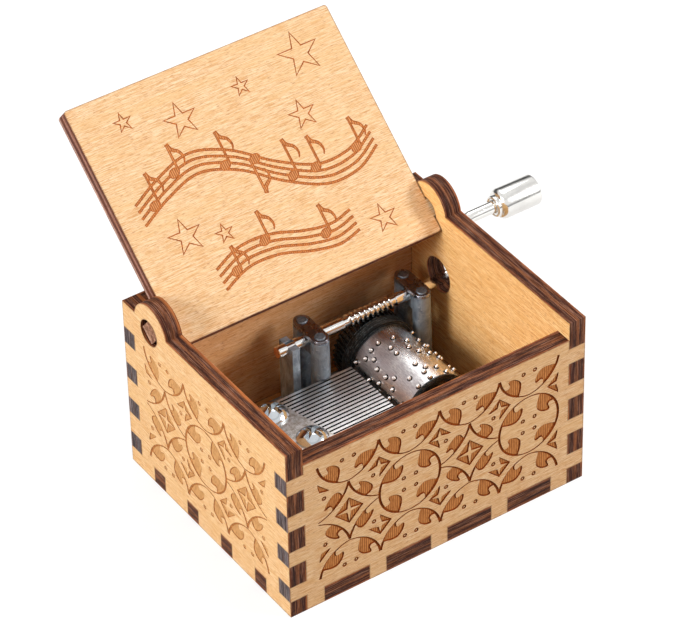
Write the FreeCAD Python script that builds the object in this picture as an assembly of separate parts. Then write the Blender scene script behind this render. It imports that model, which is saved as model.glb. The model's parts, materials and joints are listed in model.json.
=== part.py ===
"""Hand-cranked music box: a finger-jointed plywood case with a hinged lid and a comb movement.

Millimetres. The origin is the centre of the underside, +Z up, +X towards the crank and -Y towards
the front panel. The lid is modelled open, leaning on the back panel.
"""
import FreeCAD, Part
import math
import os
import random

V = FreeCAD.Vector
X_AXIS = V(1, 0, 0)
Y_AXIS = V(0, 1, 0)
Z_AXIS = V(0, 0, 1)

# Case
CASE_WIDTH = 64.0
CASE_DEPTH = 52.0
CASE_HEIGHT = 37.6
PLY = 3.5
FINGER_WIDTH = 3.5
FINGER_PITCH = 8.25
FINGER_COUNT = 4
SIDE_TAB_WIDTH = 3.5
SIDE_TAB_PITCH = 11.0
FRONT_TAB_WIDTH = 9.6
FRONT_TAB_PITCH = 13.3
FLOOR_TAB_COUNT = 4
EAR_RADIUS = 5.25
EAR_CENTRE_Y = 16.75
EAR_TOP = 41.95

# Lid and its hinge
HINGE_Y = 17.3
HINGE_Z = 35.8
HINGE_HOLE_RADIUS = 2.65
LID_SIDE_GAP = 0.2
LID_REACH_FRONT = 42.25
LID_REACH_BACK = 4.75
LID_CORNER_RADIUS = 0.6
LID_TAB_WIDTH = 3.6
LID_TAB_RECESS = 0.3
LID_SEAT_GAP = 0.3
LID_STOP_GAP = 0.15

# Crank shaft, worm and crank
SHAFT_Y = 14.25
SHAFT_Z = 21.2
SHAFT_RADIUS = 1.175
SHAFT_LEFT_END = -7.3
CRANK_HOLE_Y = 13.9
CRANK_HOLE_Z = 22.8
CRANK_HOLE_RADIUS = 3.65
CRANK_ARM_X = 34.0
CRANK_THROW = 12.1
CRANK_BEND_RADIUS = 1.75
CRANK_TILT = 3.3
NECK_RADIUS = 0.75
WORM_PITCH = 1.09
WORM_WIRE_RADIUS = 0.27
WORM_MEAN_RADIUS = 1.13
WORM_TURNS_LEFT = 5
WORM_TURNS_RIGHT = 4
WORM_CORE_GAP = 0.01
WORM_ARCS_PER_TURN = 4
WORM_RUN_OUT = 0.6

# Knob on the crank
KNOB_RADIUS = 3.0
KNOB_COLLAR_RADIUS = 2.1
KNOB_COLLAR_START = 40.6
KNOB_COLLAR_LENGTH = 0.9
KNOB_CHAMFER_RADIUS = 2.45
KNOB_CHAMFER_LENGTH = 0.8
KNOB_END = 49.85
KNOB_END_EDGE = 0.25
KNOB_CLEARANCE = 0.06
KNOB_BORE_DEPTH = 6.4
KNOB_END_PLAY = 0.3
KNOB_LIP_SETBACK = 0.2
KNOB_LIP_PLAY = 0.1
KNOB_LIP_LENGTH = 0.5
KNOB_LIP_RADIUS = 1.0

# Worm wheel and drum
GEAR_TEETH = 42
GEAR_TIP_RADIUS = 7.40
GEAR_ROOT_RADIUS = 6.84
GEAR_HALF_WIDTH = 1.8
GEAR_GAP_AT_ROOT = 0.62
GEAR_GAP_AT_TIP = 0.80
GEAR_GAP_OVERRUN = 0.3
GEAR_HUB_RADIUS = 2.6
GEAR_HUB_LENGTH = 0.7
FLANGE_RADIUS = 7.45
FLANGE_WIDTH = 2.55
FLANGE_STEP_RADIUS = 6.95
FLANGE_STEP_WIDTH = 0.45
GEAR_NECK_RADIUS = 6.6
DRUM_X = 13.4
DRUM_BACK = 10.4
DRUM_FRONT = -6.3
DRUM_RADIUS = 6.63
DRUM_WALL = 0.42
DRUM_PLUG_DEPTH = 1.6
CAP_RIM = 0.35
CAP_DISH_RADIUS = 5.7
CAP_DISH_FLOOR_RADIUS = 4.6
CAP_DISH_DEPTH = 1.7
CAP_FLOOR = 0.9
CAP_HUB_RADIUS = 2.2
CAP_HUB_LENGTH = 0.9
PIN_HEIGHT = 0.62
PIN_ROOT_RADIUS = 0.36
PIN_TIP_RADIUS = 0.24
PIN_SUNK = 0.2
PIN_SEED = 18
PIN_BEATS = 46
ARBOR_RADIUS = 1.0
RUNNING_GAP = 0.05
PRESS_GAP = 0.01

# Comb
TOOTH_COUNT = 18
TOOTH_PITCH = 0.92
TOOTH_SLOT = 0.28
TOOTH_THICKNESS = 0.9
COMB_THICKNESS = 2.0
COMB_ABOVE_AXIS = 1.5
COMB_BACK = 10.1
COMB_LEFT = -17.0
COMB_ROOT_BACK_X = -10.4
COMB_ROOT_FRONT_X = -6.6
COMB_PIN_GAP = 0.12
TOOTH_OVERLAP = 0.8
COMB_SCREWS = ((-13.2, 7.3), (-10.9, -2.3))
COMB_SCREW_HEAD_RADIUS = 3.05
COMB_SCREW_HEAD_HEIGHT = 1.95
COMB_SCREW_DOME = 0.4
COMB_SCREW_CLEARANCE = 0.1
COMB_SCREW_TURN = 25
COMB_SCREW_RADIUS = 1.25
COMB_SCREW_DEPTH = 6.0
COMB_CROSS_LENGTH = 4.0
CROSS_WIDTH = 0.9
CROSS_DEPTH = 1.0
WEIGHTED_TEETH = 6
WEIGHT_DEPTH = 1.7
WEIGHT_DEPTH_STEP = 0.2
WEIGHT_LENGTH = 3.0
WEIGHT_LENGTH_STEP = 0.3
WEIGHT_TIP_GAP = 1.6
WEIGHT_INSET = 0.05
DAMPED_TEETH = 12
DAMPER_THICKNESS = 0.14
DAMPER_WIDTH = 0.4
DAMPER_LENGTH = 1.3
DAMPER_TIP_GAP = 0.2

# Bedplate casting and the straps over the shaft
BED_LEFT = -17.5
BED_RIGHT = 25.6
BED_FRONT = -9.8
BED_BACK = 19.4
BED_THICKNESS = 2.0
BED_CORNER = 2.0
STRAP_XS = (0.25, 22.85)
POST_OFFSET = 2.93
POST_TOP_RADIUS = 1.68
POST_BASE_RADIUS = 1.95
STRAP_WIDTH = 3.3
STRAP_THICKNESS = 0.8
STRAP_SHAFT_GAP = 0.12
RIVET_STEM_RADIUS = 1.0
RIVET_HEAD_RADIUS = 1.08
RIVET_HEAD_HEIGHT = 0.25
RIVET_HEAD_EDGE = 0.15
CAST_OVERLAP = 0.5
PEDESTAL_INSET = 0.6
COMB_RELIEF = 0.2
SADDLE_DEPTH = 2.6
SADDLE_DROP = 0.4
SADDLE_THICKNESS = 2.2
FORK_X = -4.5
FORK_THICKNESS = 1.6
FORK_WIDTH = 4.4
FORK_END_PLAY = 0.1
FORK_RISE = 0.8
UPRIGHT_THICKNESS = 1.7
UPRIGHT_HALF_WIDTH = 3.2
UPRIGHT_END_PLAY = 0.2
WINDOW_HALF_WIDTH = 4.4
BED_SCREWS = ((-13.5, 15.4), (-2.0, -6.2), (22.6, -6.2))
BED_SCREW_BOSS_RADIUS = 2.6
BED_SCREW_BOSS_HEIGHT = 2.0
BED_SCREW_RADIUS = 1.3
BED_SCREW_HEAD_RADIUS = 2.5
BED_SCREW_RECESS = 0.1
BED_SCREW_LENGTH = 6.6
BED_SCREW_CROSS_DEPTH = 1.0
BED_CROSS_LENGTH = 2.8

# Worked out from the driving dimensions
HALF_W = CASE_WIDTH / 2
HALF_D = CASE_DEPTH / 2
INNER_W = HALF_W - PLY
INNER_D = HALF_D - PLY
FRONT_TOP = HINGE_Z - PLY / 2 - LID_SEAT_GAP
FINGERS = [(PLY + i * FINGER_PITCH, PLY + i * FINGER_PITCH + FINGER_WIDTH) for i in range(FINGER_COUNT)]
LID_HALF_W = INNER_W - LID_SIDE_GAP
GEAR_PITCH_RADIUS = GEAR_TEETH * WORM_PITCH / (2 * math.pi)
DRUM_Z = SHAFT_Z - GEAR_PITCH_RADIUS - WORM_MEAN_RADIUS
GEAR_FRONT = SHAFT_Y - GEAR_HALF_WIDTH
GEAR_BACK = SHAFT_Y + GEAR_HALF_WIDTH
WORM_CORE_RADIUS = WORM_MEAN_RADIUS - WORM_WIRE_RADIUS - WORM_CORE_GAP
WORM_START = DRUM_X - (WORM_TURNS_LEFT + 0.25) * WORM_PITCH
WORM_END = DRUM_X + (WORM_TURNS_RIGHT + 0.25) * WORM_PITCH
COMB_TOP = DRUM_Z + COMB_ABOVE_AXIS
TOOTH_BOTTOM = COMB_TOP - TOOTH_THICKNESS
COMB_FRONT = COMB_BACK - TOOTH_COUNT * TOOTH_PITCH + TOOTH_SLOT
PIN_CIRCLE = DRUM_RADIUS + PIN_HEIGHT
TIP_DROP = TOOTH_BOTTOM - DRUM_Z
COMB_TIP_X = DRUM_X - math.sqrt((PIN_CIRCLE + COMB_PIN_GAP) ** 2 - TIP_DROP ** 2)
BED_TOP = PLY + BED_THICKNESS
STRAP_Z = SHAFT_Z + SHAFT_RADIUS + STRAP_SHAFT_GAP
HUB_FRONT = DRUM_FRONT - CAP_RIM - CAP_HUB_LENGTH
HUB_BACK = GEAR_BACK + GEAR_HUB_LENGTH
KNOB_LIP_START = KNOB_COLLAR_START + KNOB_LIP_SETBACK
CRANK_TOP = SHAFT_Z + CRANK_THROW
TOOTH_HALF = (TOOTH_PITCH - TOOTH_SLOT) / 2
ARBOR_FRONT = HUB_FRONT - UPRIGHT_END_PLAY - UPRIGHT_THICKNESS
ARBOR_BACK = HUB_BACK + UPRIGHT_END_PLAY + UPRIGHT_THICKNESS


def box(x0, x1, y0, y1, z0, z1):
    """A block between two corners."""
    return Part.makeBox(x1 - x0, y1 - y0, z1 - z0, V(x0, y0, z0))


def rod_x(radius, x0, x1, y, z):
    """A round bar along X."""
    return Part.makeCylinder(radius, x1 - x0, V(x0, y, z), X_AXIS)


def rod_y(radius, y0, y1, x, z):
    """A round bar along Y."""
    return Part.makeCylinder(radius, y1 - y0, V(x, y0, z), Y_AXIS)


def rod_z(radius, z0, z1, x, y):
    """A round bar along Z."""
    return Part.makeCylinder(radius, z1 - z0, V(x, y, z0), Z_AXIS)


def joined(solids):
    """Several overlapping solids as one, with the seams between flush faces removed."""
    return solids[0].fuse(solids[1:]).removeSplitter()


def spaced(count, pitch):
    """Centres of a row of equal steps about zero."""
    return [(i - (count - 1) / 2) * pitch for i in range(count)]


def turned(profile, centre, axis):
    """A turned solid: (distance along the axis, radius) steps revolved about the axis."""
    side = V(0, 0, 1)
    points = [centre + axis * along + side * radius for along, radius in profile]
    points = [centre + axis * profile[0][0]] + points + [centre + axis * profile[-1][0]]
    face = Part.Face(Part.makePolygon(points + points[:1]))
    return face.revolve(centre, axis, 360)


def save(shape, node):
    """Write one node, and say how many solids it has and whether they are sound."""
    shape.exportStep("parts/%s.step" % node)
    print("%-20s solids %2d valid %s volume %.2f" % (node, len(shape.Solids), shape.isValid(), shape.Volume))


def floor_tabs_side(side):
    """The floor's tabs that pass through one side panel."""
    x0, x1 = sorted((side * INNER_W, side * HALF_W))
    half = SIDE_TAB_WIDTH / 2
    return [box(x0, x1, y - half, y + half, 0, PLY) for y in spaced(FLOOR_TAB_COUNT, SIDE_TAB_PITCH)]


def floor_tabs_end(end):
    """The floor's tabs that pass through the front or back panel."""
    y0, y1 = sorted((end * INNER_D, end * HALF_D))
    half = FRONT_TAB_WIDTH / 2
    return [box(x - half, x + half, y0, y1, 0, PLY) for x in spaced(FLOOR_TAB_COUNT, FRONT_TAB_PITCH)]


def corner_fingers(side, end):
    """The front or back panel's fingers at one upright corner."""
    x0, x1 = sorted((side * INNER_W, side * HALF_W))
    y0, y1 = sorted((end * INNER_D, end * HALF_D))
    return [box(x0, x1, y0, y1, z0, z1) for z0, z1 in FINGERS]


def end_panel(end, height):
    """Front (end -1) or back (end 1) panel with its corner fingers."""
    y0, y1 = sorted((end * INNER_D, end * HALF_D))
    plate = box(-INNER_W, INNER_W, y0, y1, 0, height)
    plate = joined([plate] + corner_fingers(-1, end) + corner_fingers(1, end))
    return plate.cut(floor_tabs_end(end))


def side_panel(side):
    """Left (side -1) or right (side 1) panel with its hinge ear; the right one has the crank's hole."""
    x0, x1 = sorted((side * INNER_W, side * HALF_W))
    plate = box(x0, x1, -HALF_D, HALF_D, 0, CASE_HEIGHT)
    ear = rod_x(EAR_RADIUS, x0, x1, EAR_CENTRE_Y, EAR_TOP - EAR_RADIUS)
    plate = joined([plate, ear])
    holes = [rod_x(HINGE_HOLE_RADIUS, x0, x1, HINGE_Y, HINGE_Z)]
    if side > 0:
        holes.append(rod_x(CRANK_HOLE_RADIUS, x0, x1, CRANK_HOLE_Y, CRANK_HOLE_Z))
    return plate.cut(holes + corner_fingers(side, -1) + corner_fingers(side, 1) + floor_tabs_side(side))


def bottom_panel():
    """The floor, with tabs on all four sides and countersunk holes for the movement's screws."""
    plate = box(-INNER_W, INNER_W, -INNER_D, INNER_D, 0, PLY)
    tabs = floor_tabs_side(-1) + floor_tabs_side(1) + floor_tabs_end(-1) + floor_tabs_end(1)
    plate = joined([plate] + tabs)
    return plate.cut([bed_screw(x, y, 2 * PRESS_GAP, 0) for x, y in BED_SCREWS])


def lid_open_angle():
    """Degrees from closed to where the lid's outer face leans on the back panel's inner top edge."""
    edge_y = INNER_D - HINGE_Y
    edge_z = CASE_HEIGHT - HINGE_Z
    reach = math.hypot(edge_y, edge_z)
    lean = math.asin((PLY / 2 + LID_STOP_GAP) / reach)
    return 180 - math.degrees(math.atan2(edge_z, edge_y) + lean)


def lid():
    """The lid plate with its two hinge tabs, turned to its open place."""
    z0 = HINGE_Z - PLY / 2
    z1 = HINGE_Z + PLY / 2
    plate = box(-LID_HALF_W, LID_HALF_W, HINGE_Y - LID_REACH_FRONT, HINGE_Y + LID_REACH_BACK, z0, z1)
    corners = [e for e in plate.Edges if abs(e.tangentAt(e.FirstParameter).z) > 0.9]
    plate = plate.makeFillet(LID_CORNER_RADIUS, corners)
    tab_end = HALF_W - LID_TAB_RECESS
    half = LID_TAB_WIDTH / 2
    tabs = box(-tab_end, tab_end, HINGE_Y - half, HINGE_Y + half, z0, z1)
    whole = joined([plate, tabs])
    whole.rotate(V(0, HINGE_Y, HINGE_Z), X_AXIS, -lid_open_angle())
    return whole


def crank_rod():
    """The bent crank: shaft, arm and handle pin in one rod, turned down at the neck, worm and knob."""
    bend = CRANK_BEND_RADIUS
    top = CRANK_TOP
    handle_end = KNOB_COLLAR_START + KNOB_BORE_DEPTH - KNOB_END_PLAY
    slant = bend * math.sqrt(0.5)
    y = SHAFT_Y
    lower = V(CRANK_ARM_X - bend, y, SHAFT_Z)
    lower_mid = V(CRANK_ARM_X - bend + slant, y, SHAFT_Z + bend - slant)
    arm_low = V(CRANK_ARM_X, y, SHAFT_Z + bend)
    arm_high = V(CRANK_ARM_X, y, top - bend)
    upper_mid = V(CRANK_ARM_X + bend - slant, y, top - bend + slant)
    upper = V(CRANK_ARM_X + bend, y, top)
    path = Part.Wire([
        Part.LineSegment(V(SHAFT_LEFT_END, y, SHAFT_Z), lower).toShape(),
        Part.Arc(lower, lower_mid, arm_low).toShape(),
        Part.LineSegment(arm_low, arm_high).toShape(),
        Part.Arc(arm_high, upper_mid, upper).toShape(),
        Part.LineSegment(upper, V(handle_end, y, top)).toShape(),
    ])
    section = Part.Wire(Part.makeCircle(SHAFT_RADIUS, V(SHAFT_LEFT_END, y, SHAFT_Z), X_AXIS))
    rod = path.makePipeShell([section], True, False)
    neck_half = FORK_THICKNESS / 2 + FORK_END_PLAY
    groove_start = KNOB_LIP_START - KNOB_LIP_PLAY
    groove_end = KNOB_LIP_START + KNOB_LIP_LENGTH + KNOB_LIP_PLAY
    turned_down = [
        (FORK_X - neck_half, FORK_X + neck_half, SHAFT_Z, NECK_RADIUS),
        (WORM_START - WORM_RUN_OUT, WORM_END + WORM_RUN_OUT, SHAFT_Z, WORM_CORE_RADIUS),
        (groove_start, groove_end, top, KNOB_LIP_RADIUS - KNOB_CLEARANCE),
    ]
    for x0, x1, z, radius in turned_down:
        ring = rod_x(2 * SHAFT_RADIUS, x0, x1, y, z).cut(rod_x(radius, x0, x1, y, z))
        rod = rod.cut(ring)
    rod.rotate(V(0, SHAFT_Y, SHAFT_Z), X_AXIS, CRANK_TILT)
    return rod


def knob():
    """The turned knob, free on the handle pin and kept on it by a lip in the pin's groove."""
    chamfer_start = KNOB_COLLAR_START + KNOB_COLLAR_LENGTH
    profile = [
        (KNOB_COLLAR_START, KNOB_COLLAR_RADIUS),
        (chamfer_start, KNOB_COLLAR_RADIUS),
        (chamfer_start, KNOB_CHAMFER_RADIUS),
        (chamfer_start + KNOB_CHAMFER_LENGTH, KNOB_RADIUS),
        (KNOB_END - KNOB_END_EDGE, KNOB_RADIUS),
        (KNOB_END, KNOB_RADIUS - KNOB_END_EDGE),
    ]
    body = turned(profile, V(0, SHAFT_Y, CRANK_TOP), X_AXIS)
    lip_end = KNOB_LIP_START + KNOB_LIP_LENGTH
    bore_end = KNOB_COLLAR_START + KNOB_BORE_DEPTH
    bore_radius = SHAFT_RADIUS + KNOB_CLEARANCE
    body = body.cut([
        rod_x(bore_radius, KNOB_COLLAR_START, KNOB_LIP_START, SHAFT_Y, CRANK_TOP),
        rod_x(KNOB_LIP_RADIUS, KNOB_LIP_START, lip_end, SHAFT_Y, CRANK_TOP),
        rod_x(bore_radius, lip_end, bore_end, SHAFT_Y, CRANK_TOP),
    ])
    body.rotate(V(0, SHAFT_Y, SHAFT_Z), X_AXIS, CRANK_TILT)
    return body


def worm_point(turn):
    """A point on the worm's centre line: whole turns are where it passes under the shaft."""
    angle = 2 * math.pi * turn
    across = WORM_MEAN_RADIUS * math.sin(angle)
    down = WORM_MEAN_RADIUS * math.cos(angle)
    return V(DRUM_X + turn * WORM_PITCH, SHAFT_Y + across, SHAFT_Z - down)


def worm_tangent(turn):
    """The worm's direction at a point of its centre line."""
    angle = 2 * math.pi * turn
    run = WORM_PITCH / (2 * math.pi)
    return V(run, WORM_MEAN_RADIUS * math.cos(angle), WORM_MEAN_RADIUS * math.sin(angle)).normalize()


def arc_edge(start, corner, end):
    """The circular arc that leaves start and reaches end along the lines to their common corner."""
    middle = (start + end) * 0.5
    cosine = (end - start).Length / 2 / (corner - start).Length
    return Part.Arc(start, middle + (corner - middle) * (cosine / (1 + cosine)), end).toShape()


def biarc(p0, t0, p1, t1):
    """Two tangent arcs from p0 to p1 with the given end directions."""
    v = p1 - p0
    along = v.dot(t0 + t1)
    spread = 2 * (1 - t0.dot(t1))
    reach = (math.sqrt(along ** 2 + spread * v.dot(v)) - along) / spread
    c0 = p0 + t0 * reach
    c1 = p1 - t1 * reach
    joint = (c0 + c1) * 0.5
    return [arc_edge(p0, c0, joint), arc_edge(joint, c1, p1)]


def worm():
    """The worm: one helical wire on the turned-down shaft, as an unbroken tube."""
    first = -(WORM_TURNS_LEFT + 0.25)
    steps = int(round((WORM_TURNS_LEFT + WORM_TURNS_RIGHT + 0.5) * WORM_ARCS_PER_TURN))
    turns = [first + i / WORM_ARCS_PER_TURN for i in range(steps + 1)]
    tail = 2 * WORM_WIRE_RADIUS
    start = worm_point(turns[0])
    lead_in = start - worm_tangent(turns[0]) * tail
    edges = [Part.LineSegment(lead_in, start).toShape()]
    for a, b in zip(turns[:-1], turns[1:]):
        edges += biarc(worm_point(a), worm_tangent(a), worm_point(b), worm_tangent(b))
    end = worm_point(turns[-1])
    edges.append(Part.LineSegment(end, end + worm_tangent(turns[-1]) * tail).toShape())
    path = Part.Wire(edges)
    section = Part.Wire(Part.makeCircle(WORM_WIRE_RADIUS, lead_in, worm_tangent(turns[0])))
    wire = path.makePipeShell([section], True, False)
    points = path.discretize(Number=40 * len(turns))
    step = path.Length / len(points)
    apart = int(WORM_PITCH * 2 / step)
    gaps = [min((q - point).Length for q in points[i + apart:]) for i, point in enumerate(points[:-apart])]
    expected = math.pi * WORM_WIRE_RADIUS ** 2 * path.Length
    print("worm least gap to itself %.3f" % (min(gaps) - 2 * WORM_WIRE_RADIUS))
    print("worm volume %.4f of section times length %.4f" % (wire.Volume, expected))
    return wire


def gear_gap():
    """One gap between teeth at the top of the worm wheel, slanted to follow the worm."""
    half_root = GEAR_GAP_AT_ROOT / 2
    half_tip = GEAR_GAP_AT_TIP / 2
    over = GEAR_GAP_OVERRUN
    half_over = half_tip + (half_tip - half_root) * over / (GEAR_TIP_RADIUS - GEAR_ROOT_RADIUS)
    length = 4 * GEAR_HALF_WIDTH
    z0 = DRUM_Z + GEAR_ROOT_RADIUS
    z1 = DRUM_Z + GEAR_TIP_RADIUS + over
    y = SHAFT_Y - length / 2
    corners = [V(DRUM_X - half_root, y, z0), V(DRUM_X + half_root, y, z0)]
    corners += [V(DRUM_X + half_over, y, z1), V(DRUM_X - half_over, y, z1)]
    prism = Part.Face(Part.makePolygon(corners + corners[:1])).extrude(V(0, length, 0))
    slant = math.degrees(math.atan(WORM_PITCH / (2 * math.pi * WORM_MEAN_RADIUS)))
    prism.rotate(V(DRUM_X, SHAFT_Y, 0), Z_AXIS, -slant)
    return prism


def drum_gear():
    """The worm wheel with its flange and the plug that closes the drum's back end."""
    centre = V(DRUM_X, 0, DRUM_Z)
    wheel = rod_y(GEAR_TIP_RADIUS, GEAR_FRONT, GEAR_BACK, DRUM_X, DRUM_Z)
    gaps = []
    for i in range(GEAR_TEETH):
        gap = gear_gap()
        gap.rotate(centre, Y_AXIS, i * 360 / GEAR_TEETH)
        gaps.append(gap)
    wheel = wheel.cut(gaps)
    flange_back = DRUM_BACK + FLANGE_WIDTH
    body = turned([
        (DRUM_BACK - DRUM_PLUG_DEPTH, DRUM_RADIUS - DRUM_WALL - PRESS_GAP),
        (DRUM_BACK, DRUM_RADIUS - DRUM_WALL - PRESS_GAP),
        (DRUM_BACK, FLANGE_STEP_RADIUS),
        (DRUM_BACK + FLANGE_STEP_WIDTH, FLANGE_STEP_RADIUS),
        (DRUM_BACK + FLANGE_STEP_WIDTH, FLANGE_RADIUS),
        (flange_back, FLANGE_RADIUS),
        (flange_back, GEAR_NECK_RADIUS),
        (GEAR_BACK, GEAR_NECK_RADIUS),
        (GEAR_BACK, GEAR_HUB_RADIUS),
        (HUB_BACK, GEAR_HUB_RADIUS),
    ], centre, Y_AXIS)
    bore = rod_y(ARBOR_RADIUS + RUNNING_GAP, DRUM_BACK - 2 * DRUM_PLUG_DEPTH, HUB_BACK, DRUM_X, DRUM_Z)
    return joined([body, wheel]).cut(bore)


def pin_places():
    """Pins as (tooth, degrees): up to three notes on each beat round the drum, from a fixed seed."""
    draw = random.Random(PIN_SEED)
    places = []
    for beat in range(PIN_BEATS):
        notes = draw.choice((2, 2, 3, 3))
        teeth = draw.sample(range(TOOTH_COUNT), notes)
        for tooth in teeth:
            if all(abs(tooth - other) > 1 or abs(beat - when) > 1 for other, when in places):
                places.append((tooth, beat))
    return [(tooth, beat * 360 / PIN_BEATS) for tooth, beat in places]


def tooth_y(tooth):
    """Centre of a tooth along the comb, counted from the back."""
    return COMB_BACK - TOOTH_HALF - tooth * TOOTH_PITCH


def drum():
    """The drum: a plated tube with the pins that lift the teeth."""
    tube = rod_y(DRUM_RADIUS, DRUM_FRONT, DRUM_BACK, DRUM_X, DRUM_Z)
    pins = []
    for tooth, angle in pin_places():
        foot = V(DRUM_X, tooth_y(tooth), DRUM_Z + DRUM_RADIUS - PIN_SUNK)
        pin = Part.makeCone(PIN_ROOT_RADIUS, PIN_TIP_RADIUS, PIN_HEIGHT + PIN_SUNK, foot, Z_AXIS)
        pin.rotate(V(DRUM_X, 0, DRUM_Z), Y_AXIS, angle)
        pins.append(pin)
    print("pins", len(pins))
    hollow = rod_y(DRUM_RADIUS - DRUM_WALL, DRUM_FRONT, DRUM_BACK, DRUM_X, DRUM_Z)
    return tube.fuse(pins).cut(hollow)


def drum_end_cap():
    """The dished cap in the drum's front end, with the hub that runs on the arbor."""
    centre = V(DRUM_X, 0, DRUM_Z)
    face = DRUM_FRONT - CAP_RIM
    plug = DRUM_RADIUS - DRUM_WALL - PRESS_GAP
    plug_end = DRUM_FRONT + CAP_DISH_DEPTH + CAP_FLOOR
    profile = [(face, DRUM_RADIUS), (DRUM_FRONT, DRUM_RADIUS), (DRUM_FRONT, plug), (plug_end, plug)]
    body = turned(profile, centre, Y_AXIS)
    mouth = V(DRUM_X, face, DRUM_Z)
    dish = Part.makeCone(CAP_DISH_RADIUS, CAP_DISH_FLOOR_RADIUS, CAP_DISH_DEPTH, mouth, Y_AXIS)
    hub = rod_y(CAP_HUB_RADIUS, HUB_FRONT, plug_end, DRUM_X, DRUM_Z)
    bore = rod_y(ARBOR_RADIUS + RUNNING_GAP, HUB_FRONT, plug_end, DRUM_X, DRUM_Z)
    return joined([body.cut(dish), hub]).cut(bore)


def drum_arbor():
    """The fixed steel pin that the drum turns on."""
    return rod_y(ARBOR_RADIUS, ARBOR_FRONT, ARBOR_BACK, DRUM_X, DRUM_Z)


def root_x(y):
    """Where the slots end at a place along the comb: long bass teeth at the back."""
    share = (COMB_BACK - y) / (COMB_BACK - COMB_FRONT)
    return COMB_ROOT_BACK_X + share * (COMB_ROOT_FRONT_X - COMB_ROOT_BACK_X)


def comb_foot(inset, z0, z1):
    """The comb's screwed-down end, as far as the slanted line of the slots' ends."""
    corners = [V(COMB_LEFT + inset, COMB_FRONT, z0), V(COMB_LEFT + inset, COMB_BACK, z0)]
    corners += [V(root_x(COMB_BACK) - inset, COMB_BACK, z0), V(root_x(COMB_FRONT) - inset, COMB_FRONT, z0)]
    return Part.Face(Part.makePolygon(corners + corners[:1])).extrude(V(0, 0, z1 - z0))


def comb():
    """The steel comb: a thick foot and the tuned teeth."""
    foot = comb_foot(0, COMB_TOP - COMB_THICKNESS, COMB_TOP)
    teeth = []
    for y in map(tooth_y, range(TOOTH_COUNT)):
        left = root_x(y) - TOOTH_OVERLAP
        teeth.append(box(left, COMB_TIP_X, y - TOOTH_HALF, y + TOOTH_HALF, TOOTH_BOTTOM, COMB_TOP))
    hole = COMB_SCREW_RADIUS + COMB_SCREW_CLEARANCE
    holes = [rod_z(hole, COMB_TOP - COMB_THICKNESS, COMB_TOP, x, y) for x, y in COMB_SCREWS]
    return joined([foot] + teeth).cut(holes)


def cross_recess(x, y, z0, z1, length):
    """The two crossing slots of a screwdriver recess."""
    half = length / 2
    thin = CROSS_WIDTH / 2
    first = box(x - half, x + half, y - thin, y + thin, z0, z1)
    second = box(x - thin, x + thin, y - half, y + half, z0, z1)
    return [first, second]


def comb_screw(x, y):
    """A pan-head screw with a cross recess."""
    radius = COMB_SCREW_HEAD_RADIUS
    height = COMB_SCREW_HEAD_HEIGHT
    stem = rod_z(COMB_SCREW_RADIUS, COMB_TOP - COMB_SCREW_DEPTH, COMB_TOP, x, y)
    disc = rod_z(radius, COMB_TOP, COMB_TOP + height, x, y)
    ball_radius = (radius ** 2 + height ** 2) / (2 * height) + COMB_SCREW_DOME
    ball = Part.makeSphere(ball_radius, V(x, y, COMB_TOP + height - ball_radius))
    head = disc.common(ball)
    top = COMB_TOP + height
    screw = joined([head, stem]).cut(cross_recess(x, y, top - CROSS_DEPTH, top, COMB_CROSS_LENGTH))
    screw.rotate(V(x, y, 0), Z_AXIS, COMB_SCREW_TURN)
    return screw


def tuning_weights():
    """Lead weights under the longest teeth."""
    half = TOOTH_HALF - WEIGHT_INSET
    right = COMB_TIP_X - WEIGHT_TIP_GAP
    weights = []
    for i in range(WEIGHTED_TEETH):
        y = tooth_y(i)
        length = WEIGHT_LENGTH - WEIGHT_LENGTH_STEP * i
        depth = WEIGHT_DEPTH - WEIGHT_DEPTH_STEP * i
        weights.append(box(right - length, right, y - half, y + half, TOOTH_BOTTOM - depth, TOOTH_BOTTOM))
    return Part.makeCompound(weights)


def dampers():
    """Thin damper strips under the tips of all but the shortest teeth."""
    half = DAMPER_WIDTH / 2
    right = COMB_TIP_X - DAMPER_TIP_GAP
    z0 = TOOTH_BOTTOM - DAMPER_THICKNESS
    strips = []
    for y in map(tooth_y, range(DAMPED_TEETH)):
        strips.append(box(right - DAMPER_LENGTH, right, y - half, y + half, z0, TOOTH_BOTTOM))
    return Part.makeCompound(strips)


def post(x, y):
    """One tapered post with its stem riveted over the strap."""
    foot = BED_TOP - CAST_OVERLAP
    cone = Part.makeCone(POST_BASE_RADIUS, POST_TOP_RADIUS, STRAP_Z - foot, V(x, y, foot), Z_AXIS)
    top = STRAP_Z + STRAP_THICKNESS
    stem = rod_z(RIVET_STEM_RADIUS, STRAP_Z - CAST_OVERLAP, top, x, y)
    head_top = RIVET_HEAD_RADIUS - RIVET_HEAD_EDGE
    head = Part.makeCone(RIVET_HEAD_RADIUS, head_top, RIVET_HEAD_HEIGHT, V(x, y, top), Z_AXIS)
    return [cone, stem, head]


def upright(y0):
    """A round-topped wall that holds one end of the arbor."""
    y1 = y0 + UPRIGHT_THICKNESS
    half = UPRIGHT_HALF_WIDTH
    wall = box(DRUM_X - half, DRUM_X + half, y0, y1, BED_TOP - CAST_OVERLAP, DRUM_Z)
    return [wall, rod_y(half, y0, y1, DRUM_X, DRUM_Z)]


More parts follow.
